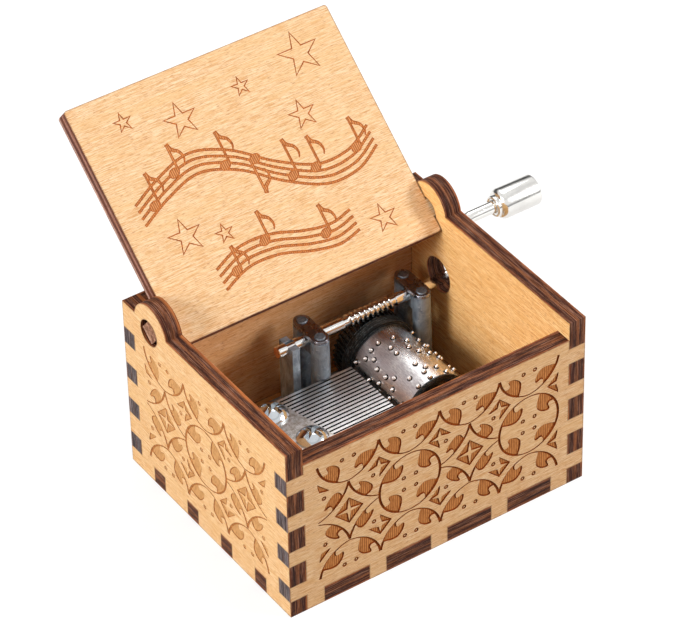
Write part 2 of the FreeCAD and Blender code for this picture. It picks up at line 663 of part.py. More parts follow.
def bedplate():
    """The cast bedplate: floor, comb pedestal, shaft posts and saddles, thrust fork and arbor uprights."""
    plate = box(BED_LEFT, BED_RIGHT, BED_FRONT, BED_BACK, PLY, BED_TOP)
    corners = [e for e in plate.Edges if abs(e.tangentAt(e.FirstParameter).z) > 0.9]
    plate = plate.makeFillet(BED_CORNER, corners)
    foot = BED_TOP - CAST_OVERLAP
    solids = [plate, comb_foot(PEDESTAL_INSET, foot, COMB_TOP - COMB_THICKNESS)]
    half = SADDLE_THICKNESS / 2
    posts = (SHAFT_Y - POST_OFFSET, SHAFT_Y + POST_OFFSET)
    for x in STRAP_XS:
        solids += post(x, posts[0]) + post(x, posts[1])
        z0 = SHAFT_Z - SADDLE_DEPTH
        solids.append(box(x - half, x + half, posts[0], posts[1], z0, SHAFT_Z - SADDLE_DROP))
    fork = (FORK_X - FORK_THICKNESS / 2, FORK_X + FORK_THICKNESS / 2)
    half = FORK_WIDTH / 2
    solids.append(box(fork[0], fork[1], SHAFT_Y - half, SHAFT_Y + half, foot, SHAFT_Z + FORK_RISE))
    solids += upright(ARBOR_FRONT) + upright(HUB_BACK + UPRIGHT_END_PLAY)
    for x, y in BED_SCREWS:
        solids.append(rod_z(BED_SCREW_BOSS_RADIUS, foot, BED_TOP + BED_SCREW_BOSS_HEIGHT, x, y))
    casting = joined(solids)
    slot = NECK_RADIUS + RUNNING_GAP
    relief_top = COMB_TOP + COMB_RELIEF
    relief_back = COMB_BACK + COMB_RELIEF
    reach = 2 * POST_BASE_RADIUS
    comb_relief = box(STRAP_XS[0] - reach, STRAP_XS[0] + reach, 0, relief_back, BED_TOP, relief_top)
    saddle_bore = rod_x(SHAFT_RADIUS + RUNNING_GAP, fork[1], HALF_W, SHAFT_Y, SHAFT_Z)
    cuts = [
        box(DRUM_X - WINDOW_HALF_WIDTH, DRUM_X + WINDOW_HALF_WIDTH, HUB_FRONT, HUB_BACK, PLY, BED_TOP),
        saddle_bore,
        comb_relief,
        rod_x(slot, fork[0], fork[1], SHAFT_Y, SHAFT_Z),
        box(fork[0], fork[1], SHAFT_Y - slot, SHAFT_Y + slot, SHAFT_Z, CASE_HEIGHT),
        rod_y(ARBOR_RADIUS + PRESS_GAP, BED_FRONT, BED_BACK, DRUM_X, DRUM_Z),
    ]
    for x, y in COMB_SCREWS:
        cuts.append(rod_z(COMB_SCREW_RADIUS + PRESS_GAP, COMB_TOP - COMB_SCREW_DEPTH, COMB_TOP, x, y))
    for x, y in BED_SCREWS:
        cuts.append(bed_screw(x, y, PRESS_GAP, 0))
    return casting.cut(cuts)


def bearing_strap(x):
    """A round-ended strap over the shaft, with holes for the two posts' stems."""
    half = STRAP_WIDTH / 2
    z0 = STRAP_Z
    z1 = STRAP_Z + STRAP_THICKNESS
    ys = (SHAFT_Y - POST_OFFSET, SHAFT_Y + POST_OFFSET)
    plate = joined([box(x - half, x + half, ys[0], ys[1], z0, z1)] + [rod_z(half, z0, z1, x, y) for y in ys])
    return plate.cut([rod_z(RIVET_STEM_RADIUS + PRESS_GAP, z0, z1, x, y) for y in ys])


def bed_screw(x, y, clearance, recess):
    """A countersunk screw from below, or, grown by a clearance, the hole for it."""
    head_z = BED_SCREW_RECESS - clearance
    head = BED_SCREW_HEAD_RADIUS + clearance
    stem = BED_SCREW_RADIUS + clearance
    cone = Part.makeCone(head, stem, head - stem, V(x, y, head_z), Z_AXIS)
    top = BED_SCREW_RECESS + BED_SCREW_LENGTH + clearance
    screw = joined([cone, rod_z(stem, head_z + (head - stem) / 2, top, x, y)])
    if clearance:
        screw = joined([screw, rod_z(head, -1, head_z + 0.001, x, y)])
    if recess:
        screw = screw.cut(cross_recess(x, y, head_z, head_z + recess, BED_CROSS_LENGTH))
    return screw


def main():
    os.makedirs("parts", exist_ok=True)
    print("lid open angle %.2f" % lid_open_angle())
    print("drum axis height %.3f comb tip x %.3f comb top %.3f" % (DRUM_Z, COMB_TIP_X, COMB_TOP))
    save(end_panel(-1, FRONT_TOP), "front_panel")
    save(end_panel(1, CASE_HEIGHT), "back_panel")
    save(side_panel(-1), "left_panel")
    save(side_panel(1), "right_panel")
    save(bottom_panel(), "bottom_panel")
    save(lid(), "lid")
    save(bedplate(), "bedplate")
    save(bearing_strap(STRAP_XS[0]), "left_bearing_strap")
    save(bearing_strap(STRAP_XS[1]), "right_bearing_strap")
    save(comb(), "comb")
    save(Part.makeCompound([comb_screw(x, y) for x, y in COMB_SCREWS]), "comb_screws")
    save(tuning_weights(), "tuning_weights")
    save(dampers(), "dampers")
    save(drum_arbor(), "drum_arbor")
    save(drum(), "drum")
    save(drum_gear(), "drum_gear")
    save(drum_end_cap(), "drum_end_cap")
    save(crank_rod(), "crank_rod")
    save(worm(), "worm")
    save(knob(), "knob")
    screws = [bed_screw(x, y, 0, BED_SCREW_CROSS_DEPTH) for x, y in BED_SCREWS]
    save(Part.makeCompound(screws), "mounting_screws")


main()
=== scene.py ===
import json
import math
import random
from collections import namedtuple

import bmesh
import bpy
import numpy as np
from mathutils import Matrix, Vector
from mathutils.geometry import delaunay_2d_cdt


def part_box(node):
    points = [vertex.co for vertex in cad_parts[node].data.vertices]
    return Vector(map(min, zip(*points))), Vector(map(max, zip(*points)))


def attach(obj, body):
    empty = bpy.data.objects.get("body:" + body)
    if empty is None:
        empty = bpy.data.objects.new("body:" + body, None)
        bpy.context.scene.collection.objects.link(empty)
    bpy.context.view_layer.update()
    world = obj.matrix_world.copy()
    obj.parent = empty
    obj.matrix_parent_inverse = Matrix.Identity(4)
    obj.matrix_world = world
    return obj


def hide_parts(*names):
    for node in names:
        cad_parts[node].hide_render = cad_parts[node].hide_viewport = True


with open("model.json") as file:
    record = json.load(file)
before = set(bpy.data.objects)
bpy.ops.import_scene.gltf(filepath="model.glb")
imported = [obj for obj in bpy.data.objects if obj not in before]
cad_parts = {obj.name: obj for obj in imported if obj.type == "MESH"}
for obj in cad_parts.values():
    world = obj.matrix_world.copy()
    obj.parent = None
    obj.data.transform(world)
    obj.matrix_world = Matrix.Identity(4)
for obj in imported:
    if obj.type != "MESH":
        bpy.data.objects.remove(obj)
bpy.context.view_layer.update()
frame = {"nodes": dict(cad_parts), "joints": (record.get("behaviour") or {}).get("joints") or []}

MM = 0.001

# The photograph's camera: degrees, millimetres and pixels
IMAGE_WIDTH = 689
SENSOR_WIDTH = 36.0
CAMERA_AZIMUTH = -33.670
CAMERA_ELEVATION = 39.375
CAMERA_ROLL = -1.424
CAMERA_OFFSET = (-2.208, 27.445, 750.702)
FOCAL_PIXELS = 4100.543

# Light: each lamp's place in millimetres, size in metres and watts; greys by the height of a direction
LAMPS = {
    "left": ((-965, -50, 520), 0.45, 11.6),
    "right": ((726, -616, 552), 0.36, 8.8),
    "top": ((240, 420, 820), 0.50, 2.2),
}
LAMP_AIM = (0, 0, 25)
SKY = ((0.0, 0.12), (0.3, 0.20), (0.6, 0.30), (1.0, 0.38))
TENT = ((0.0, 0.10), (0.06, 0.14), (0.16, 0.45), (0.26, 0.95), (0.74, 1.0), (0.82, 0.70), (0.88, 1.0))
TENT_BACK_SINK = 0.45
FLOOR_REACH = 4.0
FLOOR_DROP = 0.05
FLOOR_GREY = 0.32
FLOOR_GLOW = 0.72

# Plywood
FRONT_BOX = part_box("front_panel")
PLY = (FRONT_BOX[1].y - FRONT_BOX[0].y) / MM
PIVOT_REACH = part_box("lid")[1].x / MM
HALO_WIDTH = 0.30
CRANK_HOLE = (13.9, 22.8)
CRANK_HOLE_MARGIN = 4.6
PANEL_WELD = 1e-3
POINT_WELD = 1e-5
FACE, EDGE, FILL, LINE = range(4)

# Engraving depth, face, raster fill and scorched line of each panel
PANEL_LOOKS = {
    "front_panel": (0.20, (240, 203, 159), (217, 143, 77), (162, 80, 26)),
    "back_panel": (0.20, (232, 190, 147), (206, 134, 70), (156, 77, 25)),
    "left_panel": (0.08, (242, 206, 157), (234, 180, 116), (202, 134, 76)),
    "right_panel": (0.08, (250, 211, 151), (230, 181, 124), (201, 137, 83)),
    "bottom_panel": (0.0, (215, 176, 122), (197, 124, 62), (116, 58, 29)),
    "lid": (0.06, (240, 209, 169), (217, 145, 87), (205, 116, 54)),
}

# Tones across a cut edge, from the panel's outer face to its inner face; the lid's from its engraved face
PANEL_LAYERS = (
    (0.00, (196, 120, 66)), (0.06, (160, 88, 50)), (0.13, (92, 42, 24)), (0.22, (60, 26, 16)),
    (0.36, (70, 32, 20)), (0.45, (142, 84, 50)), (0.56, (130, 74, 44)), (0.64, (60, 26, 16)),
    (0.80, (64, 28, 18)), (0.90, (100, 48, 26)), (0.96, (166, 92, 52)), (1.00, (198, 122, 66)),
)
LID_LAYERS = (
    (0.00, (150, 90, 58)), (0.05, (92, 46, 32)), (0.20, (84, 40, 28)), (0.29, (150, 100, 84)),
    (0.40, (186, 136, 120)), (0.48, (120, 70, 54)), (0.55, (84, 38, 28)), (0.74, (92, 46, 36)),
    (0.82, (196, 150, 132)), (0.93, (222, 182, 164)), (1.00, (150, 100, 80)),
)

# The lattice ornament: first column, columns and middle on the long and the short sides; its cells
SIDE_LATTICE = (-19.17, 4, 18.65)
END_LATTICE = (-12.95, 3, 18.45)
LATTICE_ACROSS = 12.95
LATTICE_UP = 13.5
CIRCLE_RADIUS = 6.5
STROKE_THIN = 0.24
STROKE_THICK = 0.56
STROKE_SWELL = 2.2
STROKE_TRIM = 4.0
LEAF = (
    (-3.12, 5.66), (-3.22, 5.12), (-3.14, 4.68), (-2.90, 4.36), (-2.45, 4.36), (-1.90, 4.58), (-1.50, 4.54),
    (-1.33, 4.12), (-1.50, 3.22), (-2.00, 2.40), (-2.75, 1.82), (-3.70, 1.74), (-4.85, 1.98), (-5.95, 2.35),
)
LEAF_ARC = (158.0, 120.0)
OPEN_LEAF = (
    (-2.83, 5.17), (-2.93, 4.85), (-2.95, 4.56), (-2.82, 4.24), (-2.55, 4.02), (-2.17, 4.06), (-1.72, 4.30),
    (-1.36, 4.26), (-1.36, 3.92), (-1.60, 3.32), (-2.12, 2.55), (-2.70, 1.95), (-3.30, 1.50), (-3.80, 1.36),
    (-4.25, 1.45), (-4.70, 1.80), (-5.10, 2.45),
)
OPEN_LEAF_ARC = (150.0, 122.0)
# How far a quarter's arc stands off its chord; what is pressed in with it keeps its place at LEAF_BACK
CIRCLE_BULGE = CIRCLE_RADIUS * (1 - math.sqrt(0.5))
OPEN_BULGE = 1.27
ROW_BULGE = 1.65
LEAF_BACK = 3.3
OUTLINE_WIDTH = 0.20
MITRE_LIMIT = 0.35
RING_PLACE = (1.30, 1.35)
HALF_RING_PLACE = (1.25, 1.29)
RING_RADII = (0.48, 0.37, 0.15)
SMALL_DIAMOND = (2.50, 2.38, 0.72)
LARGE_DIAMOND = (3.04, 2.98, 0.84)
DIAMOND_CORNER = 0.36
SCAN_PITCH = 0.40

# The lid's engraving: outline stars and a waving stave, across and up from the hinge
STARS = (
    (18.90, 35.65, 4.6), (-8.35, 32.75, 3.7), (13.90, 25.10, 3.1), (-17.85, 12.95, 3.7),
    (19.10, 1.70, 3.0), (-18.85, 36.35, 2.1), (5.25, 34.25, 2.1), (-10.75, 10.75, 2.1),
)
STAR_WAIST = 0.40
STAR_LINE = 0.26
STAVE_RUNS = (
    ((-24.0, 19.5), (-17.5, 22.6), (-10.0, 24.6), (-2.5, 22.2),
     (4.5, 17.2), (12.0, 13.6), (19.0, 13.8), (24.5, 16.6)),
    ((-15.5, 3.2), (-9.5, 5.4), (-3.0, 5.3), (3.5, 3.4), (9.0, 2.6), (13.6, 3.6)),
)
STAVE_LINES = 4
STAVE_GAP = 1.35
STAVE_STROKE = 0.55
NOTES = (
    (-20.6, 20.2, 6.2), (-14.3, 24.3, 5.4), (-4.6, 22.0, 6.4), (1.2, 21.0, -6.6), (6.6, 15.4, 7.0),
    (11.4, 15.2, 6.0), (20.6, 15.6, 5.8), (-12.0, 3.6, 4.6), (-4.4, 6.6, 5.6), (7.2, 3.4, 5.4),
)
NOTE_HEAD = (1.25, 0.92)
NOTE_TILT = 22.0
NOTE_STEM = 0.55
FLAG_STEPS = 5
FLAG = ((0.0, 0.0), (0.5, -1.2), (1.7, -2.1), (2.1, -3.4), (1.7, -4.4))
FLAG_WIDTHS = (0.9, 0.8, 0.65, 0.45, 0.2)

# Movement: the drum with its pins in line with the comb's teeth, and the worm
DRUM_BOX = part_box("drum")
CAP_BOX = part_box("drum_end_cap")
DRUM_X = (CAP_BOX[0].x + CAP_BOX[1].x) / 2 / MM
DRUM_Z = (CAP_BOX[0].z + CAP_BOX[1].z) / 2 / MM
DRUM_RADIUS = 6.63
DRUM_WALL = 0.4
DRUM_STEPS = 192
# Arc lengths round the drum between which one side is painted darker, for tarnish and a painted dark
# reflection
TARNISH_AND_SHADE_START = (-1.2, -3.4)
TARNISH_AND_SHADE_END = (-8.6, -6.6)
PIN_SEED = 18
PIN_BEATS = 46
TOOTH_COUNT = 18
TOOTH_PITCH = 0.92
FIRST_TOOTH = 9.78
COMB_ROOT_X = -8.00
COMB_ROOT_SLANT = -0.2334
PIN_PROFILE = (
    (-0.20, 0.0), (-0.20, 0.56), (0.04, 0.56), (0.08, 0.50), (0.12, 0.36), (0.40, 0.34),
    (0.52, 0.32), (0.59, 0.26), (0.62, 0.19), (0.58, 0.12), (0.44, 0.08), (0.40, 0.0),
)
PIN_STEPS = 14
STRAP_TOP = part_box("left_bearing_strap")[1].z / MM
WORM_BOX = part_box("worm")
WORM_Y = 14.25
WORM_Z = 21.2
WORM_PITCH = 1.09
THREAD_PROFILE = (
    (-0.40, 0.80), (-0.30, 0.98), (-0.275, 1.13), (-0.20, 1.33), (-0.08, 1.40),
    (0.08, 1.40), (0.20, 1.33), (0.275, 1.13), (0.30, 0.98), (0.40, 0.80),
)
THREAD_STEPS = 40
THREAD_RUN_OUT = 0.25
ROD_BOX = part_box("crank_rod")
ROD_RADIUS = 1.175
ROD_EDGE = 0.15
ROD_STEPS = 40
NECK = (-5.4, -3.6, 0.75)
CORE_RUN_OUT = 0.33
CORE_RADIUS = 0.85
CRANK_ARM_X = 34.0
CRANK_THROW = 12.1
CRANK_BEND = 1.75
BEND_STEPS = 12
CRANK_TILT = math.radians(3.3)
PIN_GROOVE = (40.7, 41.4, 0.94)
KNOB_PROFILE = (
    (47.0, 0.0), (47.0, 1.235), (41.3, 1.235), (41.3, 1.0), (40.8, 1.0), (40.8, 1.235), (40.6, 1.235),
    (40.6, 1.80), (40.64, 1.97), (40.74, 2.07), (40.9, 2.1), (41.2, 2.1), (41.34, 2.07), (41.42, 2.0),
    (41.5, 2.0), (41.5, 2.30), (41.56, 2.45), (41.75, 2.66), (42.0, 2.85), (42.3, 2.97), (42.6, 3.0),
    (49.5, 3.0), (49.65, 2.97), (49.76, 2.90), (49.83, 2.80), (49.85, 2.65), (49.85, 0.0),
)
KNOB_STEPS = 72
ROD_WELD = 1e-4
SMOOTH_ANGLE = math.radians(40)

Plane = namedtuple("Plane", "origin along up normal")


def make_plane(origin, along, up):
    """A panel's face: where its zero lies, in millimetres, and its right, up and outward directions."""
    along, up = Vector(along), Vector(up)
    return Plane(Vector(origin), along, up, along.cross(up))


def flipped(plane, thickness):
    """The same panel's other face."""
    return make_plane(plane.origin - plane.normal * thickness, -plane.along, plane.up)


def srgb(red, green, blue):
    """The linear colour of three screen values from 0 to 255."""
    screen = (value / 255 for value in (red, green, blue))
    return (*(((c + 0.055) / 1.055) ** 2.4 if c > 0.04 else c / 12.92 for c in screen), 1.0)


class Tree:
    """Shader nodes in the making."""

    def __init__(self, owner):
        owner.use_nodes = True
        self.nodes, self.links = owner.node_tree.nodes, owner.node_tree.links

    def feed(self, socket, value):
        if isinstance(value, bpy.types.NodeSocket):
            self.links.new(value, socket)
        else:
            socket.default_value = value

    def add(self, kind, *values, **settings):
        """A node of that kind with its settings, and values for its first inputs."""
        node = self.nodes.new("ShaderNode" + kind)
        for name, value in settings.items():
            setattr(node, name, value)
        for socket, value in zip(node.inputs, values):
            self.feed(socket, value)
        return node

    def math(self, operation, *values):
        return self.add("Math", *values, operation=operation).outputs[0]

    def fit(self, value, low, high, to_low=0.0, to_high=1.0):
        """value's stretch from low to high, spread over to_low to to_high and held beyond it."""
        return self.add("MapRange", value, low, high, to_low, to_high).outputs[0]

    def parts(self, vector):
        return self.add("SeparateXYZ", vector).outputs

    def ramp(self, value, stops):
        node = self.add("ValToRGB", value)
        elements = node.color_ramp.elements
        while len(elements) < len(stops):
            elements.new(1.0)
        for element, (position, colour) in zip(elements, stops):
            element.position = position
            element.color = colour
        return node.outputs["Color"]

    def mix(self, factor, first, second):
        node = self.add("Mix", factor, data_type="RGBA")
        self.feed(node.inputs[6], first)
        self.feed(node.inputs[7], second)
        return node.outputs[2]


class Finish(Tree):
    """A surface. Places and feature sizes are in millimetres."""

    def __init__(self, name, **constants):
        self.material = bpy.data.materials.new(name)
        super().__init__(self.material)
        self.shader = self.nodes["Principled BSDF"]
        for socket, value in constants.items():
            self.set(socket.replace("_", " "), value)
        self.place = self.vector("MULTIPLY", self.add("TexCoord").outputs["Object"], (1 / MM,) * 3)

    def set(self, socket, value):
        self.feed(self.shader.inputs[socket], value)

    def vector(self, operation, first, second):
        node = self.add("VectorMath", first, second, operation=operation)
        return node.outputs["Value" if operation == "DOT_PRODUCT" else "Vector"]

    def combined(self, *values):
        return self.add("CombineXYZ", *values).outputs[0]

    def on_plane(self, plane):
        """The place as across, up and depth from the panel's outer face."""
        spot = self.vector("SUBTRACT", self.place, tuple(plane.origin))
        axes = (plane.along, plane.up, -plane.normal)
        return self.combined(*(self.vector("DOT_PRODUCT", spot, tuple(axis)) for axis in axes))

    def round_drum(self):
        """The place as arc length round the drum's axis, distance along it and distance from it."""
        east, along, up = self.parts(self.vector("SUBTRACT", self.place, (DRUM_X, 0.0, DRUM_Z)))
        square = self.math("MULTIPLY_ADD", east, east, self.math("MULTIPLY", up, up))
        turn = self.math("ARCTAN2", east, up)
        return self.math("MULTIPLY", turn, DRUM_RADIUS), along, self.math("SQRT", square)

    def facing(self):
        """How far the surface faces along x, y and z, from -1 to 1."""
        return self.parts(self.add("TexCoord").outputs["Normal"])

    def noise(self, spot, size, detail=2.0, roughness=0.5, distortion=0.0):
        node = self.add("TexNoise", self.vector("DIVIDE", spot, size))
        settings = {"Scale": 1.0, "Detail": detail, "Roughness": roughness, "Distortion": distortion}
        for socket, value in settings.items():
            node.inputs[socket].default_value = value
        return node.outputs["Fac"]

    def over(self, colour, tone, value, low, high, most=1.0):
        """A colour that another covers, up to a share, as a value goes from low to high."""
        return self.mix(self.fit(value, low, high, 0.0, most), colour, tone)

    def attribute(self, name):
        return self.add("Attribute", attribute_name=name).outputs["Fac"]

    def done(self, colour, roughness, height=None, rise=0.0, edges=0.0):
        """The material, with relief of that rise over edges rounded to that radius."""
        self.set("Base Color", colour)
        self.set("Roughness", roughness)
        if rise:
            bump = self.add("Bump")
            bump.inputs["Distance"].default_value = rise * MM
            self.feed(bump.inputs["Height"], height)
            if edges:
                bevel = self.add("Bevel", edges * MM, samples=6)
                self.links.new(bevel.outputs[0], bump.inputs["Normal"])
            self.set("Normal", bump.outputs[0])
        return self.material


def add_piece(name, bm, materials, body, node):
    """A finished piece that rides a body and stands for a CAD node."""
    bmesh.ops.recalc_face_normals(bm, faces=bm.faces)
    mesh = bpy.data.meshes.new(name)
    bm.to_mesh(mesh)
    bm.free()
    for material in materials:
        mesh.materials.append(material)
    piece = bpy.data.objects.new(name, mesh)
    bpy.context.scene.collection.objects.link(piece)
    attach(piece, body)
    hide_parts(node)


# Flat figures: closed outlines with a kind, in millimetres on a panel's face


def arc(centre, radius, start, end, steps):
    turns = (math.radians(start + (end - start) * step / steps) for step in range(steps + 1))
    return [(centre[0] + radius * math.cos(a), centre[1] + radius * math.sin(a)) for a in turns]


def disc(centre, radius, steps):
    return arc(centre, radius, 0, 360, steps)[:-1]


def smooth(points, steps=6):
    """An open curve through the points."""
    ends = [points[0], *points, points[-1]]
    curve = []
    for before, start, end, after in zip(ends, ends[1:], ends[2:], ends[3:]):
        for step in range(steps):
            t = step / steps
            weights = (
                -t + 2 * t * t - t ** 3, 2 - 5 * t * t + 3 * t ** 3,
                t + 4 * t * t - 3 * t ** 3, -t * t + t ** 3,
            )
            corners = (before, start, end, after)
            curve.append(tuple(sum(w * p[i] for w, p in zip(weights, corners)) / 2 for i in (0, 1)))
    return [*curve, points[-1]]


def signed_area(outline):
    pairs = zip(outline, outline[1:] + outline[:1])
    return sum(a[0] * b[1] - b[0] * a[1] for a, b in pairs) / 2


def counter_clockwise(outline):
    return outline if signed_area(outline) > 0 else outline[::-1]


def inset(outline, distance):
    """The loop moved to its left by a distance, which is inwards if it runs counter-clockwise."""
    moved = []
    for before, here, after in zip(outline[-1:] + outline[:-1], outline, outline[1:] + outline[:1]):
        first = (Vector(here) - Vector(before)).normalized()
        second = (Vector(after) - Vector(here)).normalized()
        lefts = Vector((-first.y - second.y, first.x + second.x))
        lift = max(MITRE_LIMIT, 1 + first.dot(second))
        moved.append(tuple(Vector(here) + lefts * (distance / lift)))
    return moved


def stroke(path, widths):
    """The outline of a pen stroke along a path."""
    sides = ([], [])
    for i, (here, width) in enumerate(zip(path, widths)):
        run = Vector(path[min(i + 1, len(path) - 1)]) - Vector(path[max(i - 1, 0)])
        left = Vector((-run.y, run.x)).normalized() * (width / 2)
        sides[0].append(tuple(Vector(here) + left))
        sides[1].append(tuple(Vector(here) - left))
    return sides[1] + sides[0][::-1]


def filled(outline):
    """A figure with a scorched outline round a paler raster fill."""
    outline = counter_clockwise(outline)
    return [("line", outline), ("core", inset(outline, OUTLINE_WIDTH))]


def quarter_signs(quarter):
    """Which way a quarter lies, across and up."""
    return 1 if quarter in (0, 3) else -1, 1 if quarter in (0, 1) else -1


def quarter_turned(points, centre, quarter):
    """Points drawn in the upper left quarter round zero, moved to that quarter round a centre."""
    angle = math.radians(90 * (quarter - 1))
    c, s = round(math.cos(angle)), round(math.sin(angle))
    return [(centre[0] + c * x - s * y, centre[1] + s * x + c * y) for x, y in points]


def pressed(points, bulge):
    """Points of a circle's upper left quarter, pressed in until its arc stands that far off its chord."""
    peak = CIRCLE_RADIUS / math.sqrt(2) + bulge
    share = (peak - LEAF_BACK) / (CIRCLE_RADIUS - LEAF_BACK)
    moved = []
    for x, y in points:
        out = (y - x) / math.sqrt(2)
        push = (LEAF_BACK + (out - LEAF_BACK) * share - out) / math.sqrt(2)
        moved.append((x - push, y + push))
    return moved


def bowed(bulge, trims):
    """An arc between the ends of a circle's upper left quarter that stands that far off its chord."""
    chord = CIRCLE_RADIUS * math.sqrt(2)
    radius = chord ** 2 / (8 * bulge) + bulge / 2
    spread = math.degrees(math.asin(chord / 2 / radius))
    back = (radius - bulge - chord / 2) / math.sqrt(2)
    return arc((back, -back), radius, 135 - spread + trims[0], 135 + spread - trims[1], 24)


def lattice_quarter(centre, quarter, ring, bulge, trimmed=False):
    """A quarter of a lattice cell: its pen stroke, its leaf and its ring."""
    trims = (0, 0)
    if trimmed:
        trims = (STROKE_TRIM, 0) if quarter in (0, 2) else (0, STROKE_TRIM)
    path = quarter_turned(bowed(bulge, trims), centre, quarter)
    lean = [abs(x - centre[0]) / CIRCLE_RADIUS for x, _ in path]
    widths = [STROKE_THIN + (STROKE_THICK - STROKE_THIN) * value ** STROKE_SWELL for value in lean]
    if bulge == OPEN_BULGE:
        leaf = smooth(OPEN_LEAF) + pressed(arc((0, 0), CIRCLE_RADIUS, *OPEN_LEAF_ARC, 8), bulge)
    else:
        leaf = pressed(smooth(LEAF) + arc((0, 0), CIRCLE_RADIUS, *LEAF_ARC, 8), bulge)
    figures = [("stroke", counter_clockwise(stroke(path, widths)))]
    figures += filled(quarter_turned(leaf, centre, quarter))
    side, level = quarter_signs(quarter)
    eye = (centre[0] + side * ring[0], centre[1] + level * ring[1])
    rings = zip(("line", "core", "clear"), RING_RADII)
    return figures + [(kind, disc(eye, radius, 12)) for kind, radius in rings]


def diamond_quarter(centre, quarter, size):
    """One of the four triangles round the pale star in a diamond."""
    side, level = quarter_signs(quarter)
    across, up, tip = size
    corners = ((DIAMOND_CORNER, DIAMOND_CORNER), (0, up * tip), (0, up), (across, 0), (across * tip, 0))
    return filled([(centre[0] + side * x, centre[1] + level * y) for x, y in corners])


def lattice(first, count, middle):
    """Columns of open cells and circles in turn, with half circles above and below them."""
    columns = [first + LATTICE_ACROSS * i for i in range(count)]
    is_open = [i % 2 == 0 for i in range(count)]
    half = (LATTICE_ACROSS / 2, LATTICE_UP / 2)
    figures = []
    for x, cell_open in zip(columns, is_open):
        for quarter in range(4):
            side, level = quarter_signs(quarter)
            if cell_open:
                corner = (x - side * half[0], middle - level * half[1])
                figures += lattice_quarter(corner, quarter, RING_PLACE, OPEN_BULGE)
                figures += diamond_quarter((x, middle), quarter, LARGE_DIAMOND)
            else:
                figures += lattice_quarter((x, middle), quarter, RING_PLACE, CIRCLE_BULGE)
            row = (x, middle - level * LATTICE_UP)
            figures += lattice_quarter(row, quarter, HALF_RING_PLACE, ROW_BULGE, trimmed=True)
    for i in range(count + 1):
        x = first + LATTICE_ACROSS * (i - 0.5)
        for quarter in range(4):
            neighbour = i if quarter in (0, 3) else i - 1
            if not 0 <= neighbour < count:
                continue
            for level, facing in ((1, (2, 3)), (-1, (0, 1))):
                if quarter in facing and is_open[neighbour]:
                    continue
                figures += diamond_quarter((x, middle + level * half[1]), quarter, SMALL_DIAMOND)
    return figures


def star(x, y, radius):
    """An upright five-pointed star drawn as one line."""
    outline = []
    for i in range(10):
        reach = radius if i % 2 == 0 else radius * STAR_WAIST
        outline.append((x - reach * math.sin(math.pi * i / 5), y + reach * math.cos(math.pi * i / 5)))
    return [("line", outline), ("clear", inset(outline, STAR_LINE))]


def stave(run):
    """A few pen lines that wave along together."""
    figures = []
    path = smooth(run, 8)
    for line in range(STAVE_LINES):
        rise = (line - (STAVE_LINES - 1) / 2) * STAVE_GAP
        widths = [STAVE_STROKE] * len(path)
        figures += filled(stroke([(x, y + rise) for x, y in path], widths))
    return figures


def note(x, y, stem):
    """A plain quaver: head, stem and flag."""
    tilt = math.radians(NOTE_TILT)
    head = []
    for px, py in disc((0, 0), 1.0, 22):
        a, b = px * NOTE_HEAD[0], py * NOTE_HEAD[1]
        across, up = a * math.cos(tilt) - b * math.sin(tilt), a * math.sin(tilt) + b * math.cos(tilt)
        head.append((x + across, y + up))
    side = math.copysign(1.0, stem)
    foot = x + side * (NOTE_HEAD[0] - NOTE_STEM / 2)
    figures = filled(head) + filled(stroke([(foot, y), (foot, y + stem)], [NOTE_STEM] * 2))
    flag = [(foot + px, y + stem + side * py) for px, py in FLAG]
    path = smooth(flag, FLAG_STEPS)
    widths = np.interp(range(len(path)), range(0, len(path), FLAG_STEPS), FLAG_WIDTHS)
    return figures + filled(stroke(path, widths))


# Panels cut anew from the frame's own, with figures sunk into their faces


def region_loops(faces):
    """The directed border loops of a set of faces, with the faces to their left."""
    following = {}
    for face in faces:
        for loop in face.loops:
            if all(other in faces for other in loop.edge.link_faces):
                continue
            following[loop.vert] = loop.link_loop_next.vert
    loops = []
    while following:
        start, here = following.popitem()
        chain = [start]
        while here is not start:
            chain.append(here)
            here = following.pop(here)
        loops.append(chain)
    return loops


def winding(spots, outline):
    """How often a closed outline runs counter-clockwise round each spot."""
    turns = np.zeros(len(spots))
    x, y = spots[:, 0], spots[:, 1]
    for (x0, y0), (x1, y1) in zip(outline, outline[1:] + outline[:1]):
        side = (x1 - x0) * (y - y0) - (x - x0) * (y1 - y0)
        turns += (y0 <= y) & (y1 > y) & (side > 0)
        turns -= (y0 > y) & (y1 <= y) & (side < 0)
    return turns


def triangulated(plane, loops, figures):
    """Points, triangles with their figure kinds, and which points lie on the border."""
    points, edges = [], []

    def flat(vert):
        spot = Vector(vert.co) / MM - plane.origin
        return spot.dot(plane.along), spot.dot(plane.up)

    def add(outline):
        ids = list(range(len(points), len(points) + len(outline)))
        points.extend(outline)
        edges.extend(zip(ids, ids[1:] + ids[:1]))

    borders = [[flat(vert) for vert in loop] for loop in loops]
    for outline in borders:
        add(outline)
    border = len(points)
    for outline in borders:
        add(inset(outline, HALO_WIDTH))
    for _, outline in figures:
        add(outline)
    result = delaunay_2d_cdt([Vector(point) for point in points], edges, [], 0, POINT_WELD, True)
    corners = np.array(result[2])
    middles = np.array([tuple(point) for point in result[0]])[corners].mean(axis=1)
    within = sum(winding(middles, outline) for outline in borders) > 0
    kinds = [set() for _ in corners]
    for kind, outline in figures:
        low, high = np.min(outline, axis=0), np.max(outline, axis=0)
        near = np.flatnonzero(np.all((middles > low) & (middles < high), axis=1))
        for i in near[winding(middles[near], outline) > 0]:
            kinds[i].add(kind)
    triangles = [(list(result[2][i]), kinds[i]) for i in np.flatnonzero(within)]
    on_border = [any(i < border for i in sources) for sources in result[3]]
    return result[0], triangles, on_border


def figure_slot(found):
    """The material slot of a triangle from the kinds of figure over it."""
    if "clear" in found:
        return FACE
    if "stroke" in found:
        return LINE
    if "core" in found:
        return FILL
    return LINE if "line" in found else FACE


